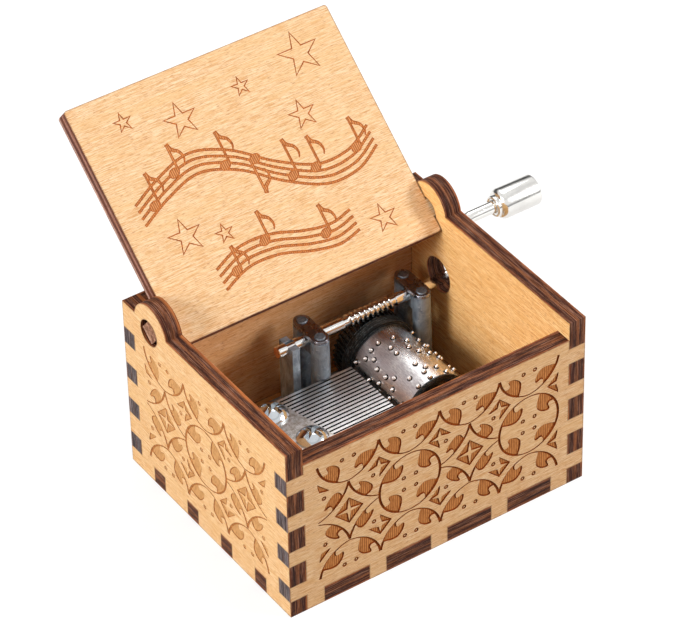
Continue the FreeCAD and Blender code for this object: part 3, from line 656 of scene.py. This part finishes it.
def recut_face(bm, plane, figures, depth, halo):
    """Replaces the panel's face in a plane by one with the figures sunk into it to a depth."""
    def in_plane(face):
        lift = (face.calc_center_median() / MM - plane.origin).dot(plane.normal)
        return face.normal.dot(plane.normal) > 0.99 and abs(lift) < 0.02

    faces = {face for face in bm.faces if in_plane(face)}
    points, triangles, on_border = triangulated(plane, region_loops(faces), figures)
    bmesh.ops.delete(bm, geom=list(faces), context="FACES_KEEP_BOUNDARY")
    made = {}

    def corner(index, sunk):
        if (index, sunk) not in made:
            u, v = points[index]
            spot = plane.origin + plane.along * u + plane.up * v
            spot -= plane.normal * (depth * sunk)
            made[index, sunk] = bm.verts.new(spot * MM)
            made[index, sunk][halo] = float(on_border[index] and not sunk)
        return made[index, sunk]

    sides = {}
    for corners, found in triangles:
        slot = figure_slot(found)
        sunk = slot != FACE
        face = bm.faces.new([corner(i, sunk) for i in corners])
        face.material_index = slot
        for a, b in zip(corners, corners[1:] + corners[:1]):
            sides[a, b] = sunk
    for (a, b), sunk in sides.items():
        if sunk and not sides.get((b, a), True):
            wall = bm.faces.new([corner(a, False), corner(b, False), corner(b, True), corner(a, True)])
            wall.material_index = LINE


def panel(node, body, plane, figures):
    """A plywood panel with figures engraved on the face in a plane."""
    depth, face_tone, fill_tone, line_tone = PANEL_LOOKS[node]
    bm = bmesh.new()
    bm.from_mesh(frame["nodes"][node].data)
    bmesh.ops.remove_doubles(bm, verts=bm.verts, dist=PANEL_WELD * MM)
    halo = bm.verts.layers.float.new("halo")
    bm.normal_update()
    for face in bm.faces:
        face.smooth = False
        face.material_index = FACE if abs(face.normal.dot(plane.normal)) > 0.9 else EDGE
    for vert in bm.verts:
        vert[halo] = 1.0
    recut_face(bm, plane, figures, depth, halo)
    recut_face(bm, flipped(plane, PLY), [], 0.0, halo)
    bmesh.ops.remove_doubles(bm, verts=bm.verts, dist=PANEL_WELD * MM)
    materials = (
        wood_face(node, plane, face_tone), wood_edge(node, plane),
        engraved_fill(node, plane, fill_tone), burnt_line(node, plane, line_tone),
    )
    add_piece(node + "_wood", bm, materials, body, node)


# Wood


def shade(tone, red, green, blue):
    """A tone with each of its values scaled."""
    return srgb(tone[0] * red, tone[1] * green, tone[2] * blue)


def wood_face(name, plane, tone):
    """Sanded pale veneer: fine fibres along the panel, soft bands, short dark flecks, a scorched rim."""
    finish = Finish(name + "_veneer", Specular_IOR_Level=0.3)
    spot = finish.on_plane(plane)
    fibre = finish.noise(spot, (3.8, 0.17, 5.0), detail=4, roughness=0.78)
    thread = finish.noise(spot, (16.0, 0.42, 5.0), detail=3, roughness=0.6)
    band = finish.noise(spot, (38.0, 2.4, 30.0), detail=3, roughness=0.55)
    cloud = finish.noise(spot, (14.0, 7.0, 20.0))
    fleck = finish.noise(spot, (1.3, 0.13, 3.0), detail=1)
    patchy = finish.noise(spot, (0.9, 0.9, 2.0), detail=3)
    colour = finish.over(srgb(*tone), shade(tone, 0.87, 0.73, 0.56), fibre, 0.44, 0.58)
    colour = finish.over(colour, shade(tone, 0.93, 0.81, 0.65), thread, 0.46, 0.70, 0.45)
    colour = finish.over(colour, shade(tone, 0.95, 0.88, 0.75), band, 0.42, 0.70, 0.5)
    colour = finish.over(colour, shade(tone, 0.96, 0.92, 0.84), cloud, 0.45, 0.75, 0.3)
    colour = finish.over(colour, shade(tone, 0.74, 0.55, 0.39), fleck, 0.60, 0.70, 0.7)
    scorch = finish.math("POWER", finish.attribute("halo"), 1.6)
    scorch = finish.math("MULTIPLY", scorch, finish.fit(patchy, 0.3, 0.65, 0.45, 0.95))
    colour = finish.mix(scorch, colour, srgb(104, 52, 26))
    return finish.done(colour, finish.fit(fibre, 0.3, 0.8, 0.50, 0.68), fibre, 0.03)


def wood_edge(name, plane):
    """Laser-cut plywood edge: charred layers with streaks, rubbed pale on the lid's pivot ends."""
    finish = Finish(name + "_cut_edge", Specular_IOR_Level=0.12)
    spot = finish.on_plane(plane)
    across, _, depth = finish.parts(spot)
    waver = finish.noise(spot, (3.0, 3.0, 0.9), detail=3)
    streak = finish.noise(spot, (6.0, 6.0, 0.17), detail=4, roughness=0.74)
    char = finish.noise(spot, (7.5, 7.5, 0.23), detail=4, roughness=0.72)
    thread = finish.noise(spot, (5.0, 5.0, 0.15), detail=3, roughness=0.7)
    blotch = finish.noise(spot, (0.5, 0.5, 0.4), detail=3)
    layer = finish.math("ADD", finish.math("DIVIDE", depth, PLY), finish.fit(waver, 0.2, 0.8, -0.05, 0.05))
    layers = LID_LAYERS if name == "lid" else PANEL_LAYERS
    burnt, ashen = (0.45, 0.08) if name == "lid" else (0.85, 0.48)
    colour = finish.ramp(layer, [(place, srgb(*tone)) for place, tone in layers])
    colour = finish.over(colour, srgb(168, 108, 70), streak, 0.50, 0.66, 0.75)
    colour = finish.over(colour, srgb(32, 14, 10), char, 0.44, 0.58, burnt)
    colour = finish.over(colour, srgb(44, 22, 18), blotch, 0.50, 0.75, 0.45)
    colour = finish.over(colour, srgb(176, 128, 106), thread, 0.53, 0.64, ashen)
    if name == "left_panel":
        inner = finish.fit(layer, 0.78, 0.90, 0.0, 0.7)
        inner = finish.math("MULTIPLY", inner, finish.fit(finish.facing()[2], 0.2, 0.4))
        veneer = finish.over(srgb(206, 124, 66), srgb(140, 76, 40), streak, 0.4, 0.6)
        colour = finish.mix(inner, colour, veneer)
    # The front and back panels' ends, facing along x, are painted grey: char ash and a painted sheen of
    # light glancing off the end grain
    if name in ("front_panel", "back_panel"):
        ash_and_sheen = finish.over(srgb(30, 26, 30), srgb(138, 130, 132), streak, 0.46, 0.60)
        colour = finish.over(colour, ash_and_sheen, finish.math("ABSOLUTE", finish.facing()[0]), 0.4, 0.6, 0.75)
    if name == "lid":
        bare = finish.over(srgb(186, 142, 110), srgb(120, 76, 54), blotch, 0.4, 0.6)
        reach = finish.math("ABSOLUTE", across)
        colour = finish.over(colour, bare, reach, PIVOT_REACH - 0.2, PIVOT_REACH - 0.1, 0.6)
    return finish.done(colour, finish.fit(streak, 0.3, 0.8, 0.5, 0.8), streak, 0.06)


def engraved_fill(name, plane, tone):
    """Raster engraving: scorched wood in fine scan lines up the panel."""
    finish = Finish(name + "_raster", Specular_IOR_Level=0.2)
    spot = finish.on_plane(plane)
    wander = finish.noise(spot, (0.5, 2.5, 2.0))
    grit = finish.noise(spot, (0.22, 0.9, 0.5), detail=3)
    turns = finish.math("MULTIPLY", finish.parts(spot)[0], 2 * math.pi / SCAN_PITCH)
    wave = finish.math("SINE", finish.math("MULTIPLY_ADD", wander, 1.6, turns))
    dark = shade(tone, 0.64, 0.50, 0.40)
    colour = finish.over(srgb(*tone), dark, wave, -0.6, 0.9, 0.85)
    colour = finish.over(colour, dark, grit, 0.45, 0.75, 0.6)
    return finish.done(colour, finish.fit(grit, 0.3, 0.8, 0.7, 0.9), finish.fit(wave, -0.6, 0.9), 0.03)


def burnt_line(name, plane, tone):
    """The scorched outline of the engraving."""
    finish = Finish(name + "_scorched_line", Specular_IOR_Level=0.1)
    patch = finish.noise(finish.on_plane(plane), (0.5, 0.5, 0.5), detail=3)
    colour = finish.ramp(patch, [(0.35, shade(tone, 0.70, 0.62, 0.56)), (0.68, srgb(*tone))])
    return finish.done(colour, finish.fit(patch, 0.3, 0.7, 0.65, 0.85))


def build_case():
    """Five plywood panels of the box, and the lid."""
    sides, ends = lattice(*SIDE_LATTICE), lattice(*END_LATTICE)
    cleared = ("clear", disc(CRANK_HOLE, CRANK_HOLE_MARGIN, 48))
    panels = (
        ("front_panel", (1, 0, 0), (0, 0, 1), sides),
        ("back_panel", (-1, 0, 0), (0, 0, 1), sides),
        ("left_panel", (0, -1, 0), (0, 0, 1), ends),
        ("right_panel", (0, 1, 0), (0, 0, 1), [*ends, cleared]),
        ("bottom_panel", (1, 0, 0), (0, -1, 0), []),
    )
    for node, along, up, figures in panels:
        outward = Vector(along).cross(Vector(up))
        reach = max(corner.dot(outward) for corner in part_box(node)) / MM
        panel(node, "case", make_plane(outward * reach, along, up), figures)
    build_lid()


def build_lid():
    """The lid, engraved on the inner face that shows when it stands open."""
    hinge = next(joint for joint in frame["joints"] if joint["name"] == "lid_hinge")
    opening = math.radians(hinge["range_deg"][1])
    up = Vector((0, -math.cos(opening), math.sin(opening)))
    inner = Vector((1, 0, 0)).cross(up)
    origin = Vector(hinge["pos_m"]) / MM + inner * (PLY / 2)
    drawn = [star(*place) for place in STARS]
    drawn += [stave(run) for run in STAVE_RUNS]
    drawn += [note(*place) for place in NOTES]
    panel("lid", "lid", make_plane(origin, (1, 0, 0), up), sum(drawn, []))


# The movement


def metal(name, tone, low, high, grain=0.8, rise=0.01, edges=0.12, tint=0.8):
    """Plain metal with a roughness that wanders between two values and a fine relief."""
    finish = Finish(name, Metallic=1.0)
    fine = finish.noise(finish.place, (grain,) * 3, detail=4, roughness=0.6)
    broad = finish.noise(finish.place, (4.0, 4.0, 4.0), detail=3)
    colour = finish.over(srgb(*tone), shade(tone, tint, tint, tint), broad, 0.35, 0.7)
    return finish.done(colour, finish.fit(fine, 0.3, 0.7, low, high), fine, rise, edges)


def cast_zinc(name):
    """Dull grey die casting with pits, flow marks and rubbed spots; above the straps the stems are painted
    darker, a painted dark reflection.
    """
    finish = Finish(name, Metallic=0.65)
    grainy = finish.noise(finish.place, (0.35, 0.35, 0.6), detail=5, roughness=0.7)
    flow = finish.noise(finish.place, (1.6, 1.6, 3.5), detail=4, roughness=0.6, distortion=0.8)
    rubbed = finish.noise(finish.place, (0.9, 0.9, 0.35), detail=4, roughness=0.7)
    colour = finish.over(srgb(186, 200, 212), srgb(112, 124, 138), flow, 0.3, 0.7)
    colour = finish.over(colour, srgb(222, 228, 236), rubbed, 0.60, 0.70, 0.8)
    # Painted reflection: the stems above the straps are painted darker, for the dark wood they mirror
    painted_dark_tops = finish.over(srgb(78, 84, 92), srgb(132, 138, 146), grainy, 0.35, 0.65)
    colour = finish.over(colour, painted_dark_tops, finish.parts(finish.place)[2], STRAP_TOP - 0.2, STRAP_TOP)
    return finish.done(colour, finish.fit(grainy, 0.3, 0.7, 0.38, 0.58), grainy, 0.06, 0.08)


def ground_comb(name):
    """Ground spring steel: cross marks on top, painted shade that blackens the teeth's sides and their
    edges beside the slots, a mottled foot.
    """
    finish = Finish(name, Metallic=1.0)
    marks = finish.noise(finish.place, (0.13, 2.6, 1.0), detail=4, roughness=0.65)
    broad = finish.noise(finish.place, (3.0, 5.0, 3.0), detail=3)
    blotch = finish.noise(finish.place, (0.8, 0.8, 0.8), detail=5, roughness=0.75)
    steel = finish.over(srgb(250, 251, 252), srgb(208, 208, 208), marks, 0.35, 0.68)
    steel = finish.over(steel, srgb(186, 184, 182), broad, 0.45, 0.75, 0.5)
    x, y, _ = finish.parts(finish.place)
    root = finish.math("MULTIPLY_ADD", y, COMB_ROOT_SLANT, COMB_ROOT_X)
    # Painted shade: a dark band round the middle of each gap between the teeth, for the shadow in the slots
    pitches = finish.math("DIVIDE", finish.math("SUBTRACT", y, FIRST_TOOTH), TOOTH_PITCH)
    rounded = finish.fit(finish.math("PINGPONG", pitches, 0.5), 0.275, 0.325)
    rounded = finish.math("MULTIPLY", rounded, finish.math("GREATER_THAN", x, root))
    steel = finish.mix(rounded, steel, srgb(20, 18, 18))
    foot = finish.math("MULTIPLY", finish.fit(blotch, 0.40, 0.66), finish.math("LESS_THAN", x, root))
    steel = finish.mix(foot, steel, srgb(158, 148, 132))
    # Painted shade: faces that do not face up are painted near black
    colour = finish.over(srgb(12, 11, 11), steel, finish.facing()[2], 0.5, 0.8)
    return finish.done(colour, finish.fit(marks, 0.3, 0.7, 0.32, 0.52), marks, 0.012)


def drum_plate(name):
    """Nickel-plated sheet: scratches along the drum, tarnish with a painted dark reflection on one side,
    painted shadow rings round the pins' feet, bright pins.
    """
    finish = Finish(name, Metallic=1.0)
    around, along, radius = finish.round_drum()
    spot = finish.combined(around, along, radius)
    streak = finish.noise(spot, (0.22, 1.2, 1.0), detail=5, roughness=0.75)
    pores = finish.noise(spot, (0.14, 0.26, 0.3), detail=3, roughness=0.7)
    stain = finish.noise(spot, (1.6, 3.0, 2.0), detail=3)
    colour = finish.over(srgb(248, 247, 244), srgb(186, 180, 182), streak, 0.40, 0.62)
    # Tarnish and painted shade: a band on one side of the drum, broken into patches, is painted darker and
    # purpler
    start = finish.math("ADD", around, finish.fit(stain, 0.3, 0.7, -0.8, 0.8))
    tarnish_and_shade = finish.math("MULTIPLY", finish.fit(start, *TARNISH_AND_SHADE_START), finish.fit(start, *TARNISH_AND_SHADE_END))
    patches = finish.math("MULTIPLY", tarnish_and_shade, finish.fit(stain, 0.25, 0.6, 0.2, 0.7))
    colour = finish.mix(patches, colour, srgb(184, 174, 178))
    colour = finish.over(colour, srgb(92, 82, 82), pores, 0.58, 0.72, 0.6)
    foot = finish.math("SUBTRACT", radius, DRUM_RADIUS)
    # Painted shadow: a dark ring round each pin's foot
    collar = finish.math("MULTIPLY", finish.fit(foot, 0.02, 0.04), finish.fit(foot, 0.14, 0.24, 1.0, 0.0))
    colour = finish.mix(collar, colour, srgb(34, 28, 27))
    head = finish.fit(foot, 0.18, 0.28)
    colour = finish.mix(head, colour, srgb(252, 250, 248))
    rough = finish.math("MULTIPLY_ADD", tarnish_and_shade, 0.16, finish.fit(streak, 0.3, 0.75, 0.20, 0.38))
    return finish.done(colour, finish.math("MULTIPLY_ADD", head, -0.12, rough), pores, 0.02)


def crank_nickel(name):
    """Bright nickel on the bent rod; the bar's end face is rough and less metallic, its warm orange a
    painted reflection of the lit wood beside it.
    """
    finish = Finish(name)
    fine = finish.noise(finish.place, (0.9, 0.9, 0.9), detail=4, roughness=0.6)
    marks = finish.noise(finish.place, (0.3, 0.3, 0.9), detail=4, roughness=0.7)
    left = ROD_BOX[0].x / MM
    cut = finish.fit(finish.parts(finish.place)[0], left + 0.02, left + 0.05, 1.0, 0.0)
    # Painted reflection: the end face's warm orange stands in for the lit wood it mirrors
    end = finish.over(srgb(216, 142, 84), srgb(168, 100, 56), marks, 0.35, 0.65)
    finish.set("Metallic", finish.math("MULTIPLY_ADD", cut, -0.7, 1.0))
    rough = finish.math("MULTIPLY_ADD", cut, 0.30, finish.fit(fine, 0.3, 0.7, 0.08, 0.15))
    return finish.done(finish.mix(cut, srgb(236, 234, 230), end), rough, fine, 0.0008)


def plastic(name):
    """Glossy black plastic with scratched turning marks round the drum's axis."""
    finish = Finish(name, Specular_IOR_Level=0.42)
    around, along, radius = finish.round_drum()
    spot = finish.combined(finish.math("MULTIPLY", around, 0.06), along, radius)
    rings = finish.noise(spot, (0.5, 0.09, 0.09), detail=4, roughness=0.7)
    dust = finish.noise(finish.place, (0.5, 0.5, 0.5), detail=5, roughness=0.75)
    scratch = finish.math("MULTIPLY", finish.fit(rings, 0.52, 0.62), finish.fit(dust, 0.44, 0.58))
    colour = finish.mix(scratch, srgb(13, 15, 16), srgb(138, 148, 150))
    return finish.done(colour, finish.fit(rings, 0.3, 0.7, 0.20, 0.42), rings, 0.02, 0.1)


def dress(node, finish):
    """Gives a CAD node its finish."""
    slots = frame["nodes"][node].data.materials
    slots.clear()
    slots.append(finish)


def add_ring(bm, centre, side, other, radius, steps):
    """Vertices round a centre, in the plane of two directions."""
    turns = (2 * math.pi * step / steps for step in range(steps))
    spots = (centre + (side * math.cos(a) + other * math.sin(a)) * radius for a in turns)
    return [bm.verts.new(spot * MM) for spot in spots]


def add_skin(bm, rings):
    """Smooth quads from each ring of vertices to the next."""
    for ring, after in zip(rings, rings[1:]):
        for i in range(len(ring)):
            k = (i + 1) % len(ring)
            bm.faces.new((ring[i], ring[k], after[k], after[i])).smooth = True


def add_capped_skin(bm, rings):
    """A skin with a flat end on its first ring and its last."""
    add_skin(bm, rings)
    bm.faces.new(rings[0])
    bm.faces.new(rings[-1][::-1])


def add_turned(bm, profile, foot, axis, steps):
    """A turned solid from heights and radii along an axis, starting and ending on the axis."""
    foot, axis = Vector(foot), Vector(axis)
    side = axis.orthogonal().normalized()
    other = axis.cross(side)
    rings = [add_ring(bm, foot + axis * h, side, other, radius, steps) for h, radius in profile[1:-1]]
    add_skin(bm, rings)
    for (height, _), ring, order in ((profile[0], rings[0], -1), (profile[-1], rings[-1], 1)):
        tip = bm.verts.new((foot + axis * height) * MM)
        for i, vert in enumerate(ring):
            corners = (vert, ring[(i + 1) % steps], tip)
            bm.faces.new(corners[::order]).smooth = True


def sharpened(bm):
    """Joins vertices at one place, and marks the sharp edges so that only the others shade smoothly."""
    bmesh.ops.remove_doubles(bm, verts=bm.verts, dist=ROD_WELD * MM)
    for edge in bm.edges:
        edge.smooth = edge.calc_face_angle(0.0) < SMOOTH_ANGLE


def pin_places():
    """The pins as (tooth, degrees): up to three notes on each beat, as on the frame's drum."""
    draw = random.Random(PIN_SEED)
    places = []
    for beat in range(PIN_BEATS):
        notes = draw.choice((2, 2, 3, 3))
        for tooth in draw.sample(range(TOOTH_COUNT), notes):
            if all(abs(tooth - other) > 1 or abs(beat - when) > 1 for other, when in places):
                places.append((tooth, beat))
    return [(tooth, math.radians(beat * 360 / PIN_BEATS)) for tooth, beat in places]


def build_drum(finish):
    """The plated tube, and pins with raised collars and rounded heads."""
    bm = bmesh.new()
    front, back = DRUM_BOX[0].y / MM, DRUM_BOX[1].y / MM
    inner = DRUM_RADIUS - DRUM_WALL
    section = ((front, inner), (front, DRUM_RADIUS), (back, DRUM_RADIUS), (back, inner))
    rings = []
    for step in range(DRUM_STEPS + 1):
        turn = 2 * math.pi * (step % DRUM_STEPS) / DRUM_STEPS
        spots = [(DRUM_X + r * math.sin(turn), y, DRUM_Z + r * math.cos(turn)) for y, r in section]
        rings.append([bm.verts.new(Vector(spot) * MM) for spot in spots])
    add_skin(bm, rings)
    sharpened(bm)
    for tooth, turn in pin_places():
        out = Vector((math.sin(turn), 0, math.cos(turn)))
        foot = Vector((DRUM_X, FIRST_TOOTH - tooth * TOOTH_PITCH, DRUM_Z)) + out * DRUM_RADIUS
        add_turned(bm, PIN_PROFILE, foot, out, PIN_STEPS)
    add_piece("drum_and_pins", bm, [finish], "drum", "drum")


def build_worm(finish):
    """The worm's thread on the shaft, in phase with the wheel below it, run out at both ends."""
    bm = bmesh.new()
    reach = THREAD_PROFILE[-1][0]
    first, last = WORM_BOX[0].x / MM + reach, WORM_BOX[1].x / MM - reach
    count = round((last - first) / WORM_PITCH * THREAD_STEPS)
    rings = []
    for step in range(count + 1):
        x = first + (last - first) * step / count
        turn = 2 * math.pi * (x - DRUM_X) / WORM_PITCH - math.pi / 2
        height = min(1.0, min(step, count - step) / THREAD_STEPS / THREAD_RUN_OUT)
        ring = []
        for shift, radius in THREAD_PROFILE:
            r = THREAD_PROFILE[0][1] + (radius - THREAD_PROFILE[0][1]) * height
            spot = (x + shift, WORM_Y + r * math.cos(turn), WORM_Z + r * math.sin(turn))
            ring.append(bm.verts.new(Vector(spot) * MM))
        rings.append(ring)
    add_capped_skin(bm, rings)
    add_piece("worm_thread", bm, [finish], "crank", "worm")


def crank_path():
    """Stations along the crank: centre, direction and radius."""
    left, right = ROD_BOX[0].x / MM, ROD_BOX[1].x / MM
    core = (WORM_BOX[0].x / MM - CORE_RUN_OUT, WORM_BOX[1].x / MM + CORE_RUN_OUT, CORE_RADIUS)
    arm = Vector((0, -math.sin(CRANK_TILT), math.cos(CRANK_TILT)))
    ahead = Vector((1, 0, 0))
    shaft = Vector((0, WORM_Y, WORM_Z))
    handle = shaft + arm * CRANK_THROW

    def straight(axis, start, end, thinned):
        spots = [(start, ROD_RADIUS)]
        for low, high, radius in thinned:
            spots += [(low, ROD_RADIUS), (low, radius), (high, radius), (high, ROD_RADIUS)]
        return [(axis + ahead * x, ahead, radius) for x, radius in spots + [(end, ROD_RADIUS)]]

    def bend(centre, first, second):
        turns = [math.pi / 2 * step / BEND_STEPS for step in range(BEND_STEPS + 1)]
        return [
            (centre + (second * math.sin(a) - first * math.cos(a)) * CRANK_BEND,
             first * math.sin(a) + second * math.cos(a), ROD_RADIUS) for a in turns
        ]

    low_centre = shaft + ahead * (CRANK_ARM_X - CRANK_BEND) + arm * CRANK_BEND
    high_centre = handle + ahead * (CRANK_ARM_X + CRANK_BEND) - arm * CRANK_BEND
    stations = straight(shaft, left + ROD_EDGE, CRANK_ARM_X - CRANK_BEND, [NECK, core])
    stations += bend(low_centre, arm, ahead)
    stations += bend(high_centre, ahead, arm)
    stations += straight(handle, CRANK_ARM_X + CRANK_BEND, right - ROD_EDGE, [PIN_GROOVE])
    first = (shaft + ahead * left, ahead, ROD_RADIUS - ROD_EDGE)
    last = (handle + ahead * right, ahead, ROD_RADIUS - ROD_EDGE)
    return [first, *stations, last]


def build_crank(finish):
    """The bent rod with its two bends, turned down at the neck, under the worm and in the knob."""
    bm = bmesh.new()
    across = Vector((0, math.cos(CRANK_TILT), math.sin(CRANK_TILT)))
    path = crank_path()
    rings = [add_ring(bm, at, across, across.cross(ahead), radius, ROD_STEPS) for at, ahead, radius in path]
    add_capped_skin(bm, rings)
    sharpened(bm)
    add_piece("bent_crank", bm, [finish], "crank", "crank_rod")


def build_knob(finish):
    """The turned knob with a rounded collar and shoulder, bored for the crank's end."""
    bm = bmesh.new()
    sink, rise = CRANK_THROW * math.sin(CRANK_TILT), CRANK_THROW * math.cos(CRANK_TILT)
    add_turned(bm, KNOB_PROFILE, (0, WORM_Y - sink, WORM_Z + rise), (1, 0, 0), KNOB_STEPS)
    add_piece("turned_knob", bm, [finish], "knob", "knob")


def build_movement():
    strap = metal("polished_strap_steel", (172, 174, 184), 0.22, 0.36, grain=1.2, rise=0.006, edges=0.28)
    bright = {"grain": 0.9, "rise": 0.0008, "edges": 0.08, "tint": 0.94}
    nickel = metal("bright_nickel", (236, 234, 230), 0.08, 0.15, **bright)
    turned = metal("turned_nickel", (236, 234, 230), 0.15, 0.23, **bright)
    screws = metal(
        "chrome_screw", (206, 211, 215), 0.06, 0.14, grain=0.7, rise=0.001, edges=0.06, tint=0.92,
    )
    black = plastic("black_plastic")
    finishes = {
        "bedplate": cast_zinc("cast_zinc"), "comb": ground_comb("ground_comb_steel"),
        "left_bearing_strap": strap, "right_bearing_strap": strap, "drum_arbor": nickel,
        "comb_screws": screws, "mounting_screws": screws,
        "tuning_weights": metal("soft_lead", (120, 122, 126), 0.5, 0.7),
        "dampers": metal("damper_film", (150, 150, 140), 0.4, 0.6),
        "drum_gear": black, "drum_end_cap": black,
    }
    for node, finish in finishes.items():
        dress(node, finish)
    build_drum(drum_plate("nickel_drum_plate"))
    build_worm(nickel)
    build_crank(crank_nickel("crank_nickel"))
    build_knob(turned)


# Camera, floor and light


def add_camera():
    azimuth, elevation, roll = map(math.radians, (CAMERA_AZIMUTH, CAMERA_ELEVATION, CAMERA_ROLL))
    flat = math.cos(elevation)
    back = Vector((math.sin(azimuth) * flat, -math.cos(azimuth) * flat, math.sin(elevation)))
    level = Vector((0, 0, 1)).cross(back).normalized()
    rise = back.cross(level)
    right = math.cos(roll) * level + math.sin(roll) * rise
    up = math.cos(roll) * rise - math.sin(roll) * level
    turn = Matrix((right, up, back)).transposed()
    data = bpy.data.cameras.new("camera")
    data.sensor_fit = "HORIZONTAL"
    data.sensor_width = SENSOR_WIDTH
    data.lens = FOCAL_PIXELS * SENSOR_WIDTH / IMAGE_WIDTH
    camera = bpy.data.objects.new("camera", data)
    bpy.context.scene.collection.objects.link(camera)
    camera.matrix_world = Matrix.Translation(turn @ Vector(CAMERA_OFFSET) * MM) @ turn.to_4x4()
    bpy.context.scene.camera = camera


def seen_directly(tree, strength):
    """A strength for the rays that see the background: camera, glossy and transmission rays."""
    path = tree.add("LightPath").outputs
    value = path["Is Camera Ray"]
    for ray in ("Is Glossy Ray", "Is Transmission Ray"):
        value = tree.math("MAXIMUM", value, path[ray])
    return tree.math("MULTIPLY", value, strength)


def grey(value):
    return (value, value, value, 1.0)


def add_floor():
    """A white floor that keeps a faint shadow."""
    bm = bmesh.new()
    bmesh.ops.create_grid(bm, x_segments=1, y_segments=1, size=FLOOR_REACH)
    mesh = bpy.data.meshes.new("floor")
    bm.to_mesh(mesh)
    bm.free()
    floor = bpy.data.objects.new("floor", mesh)
    floor.location.z = -FLOOR_DROP * MM
    bpy.context.scene.collection.objects.link(floor)
    finish = Finish("white_floor", Emission_Color=grey(1.0))
    finish.set("Emission Strength", seen_directly(finish, FLOOR_GLOW))
    mesh.materials.append(finish.done(grey(FLOOR_GREY), 0.9))


def add_world():
    """A dim sky; what metal mirrors is a white tent, which hangs lower at the back."""
    world = bpy.data.worlds.new("studio")
    bpy.context.scene.world = world
    tree = Tree(world)
    _, backward, height = tree.parts(tree.add("TexCoord").outputs["Generated"])
    sunk = tree.math("MULTIPLY_ADD", tree.math("MAXIMUM", backward, 0.0), -TENT_BACK_SINK, height)
    sky = tree.ramp(height, [(position, grey(value)) for position, value in SKY])
    tent = tree.ramp(sunk, [(position, grey(value)) for position, value in TENT])
    colour = tree.mix(seen_directly(tree, 1.0), sky, tent)
    tree.feed(tree.nodes["Background"].inputs["Color"], colour)


def add_lamps():
    """Soft boxes turned to the middle of the part: a key light from the left, weaker ones beside it."""
    for name, (place, size, power) in LAMPS.items():
        data = bpy.data.lights.new(name, "AREA")
        data.size = size
        data.energy = power
        lamp = bpy.data.objects.new(name, data)
        bpy.context.scene.collection.objects.link(lamp)
        lamp.location = Vector(place) * MM
        aim = Vector(LAMP_AIM) * MM - lamp.location
        lamp.rotation_euler = aim.to_track_quat("-Z", "Y").to_euler()


bpy.context.scene.view_settings.view_transform = "Standard"
add_camera()
add_floor()
add_world()
add_lamps()
build_case()
build_movement()
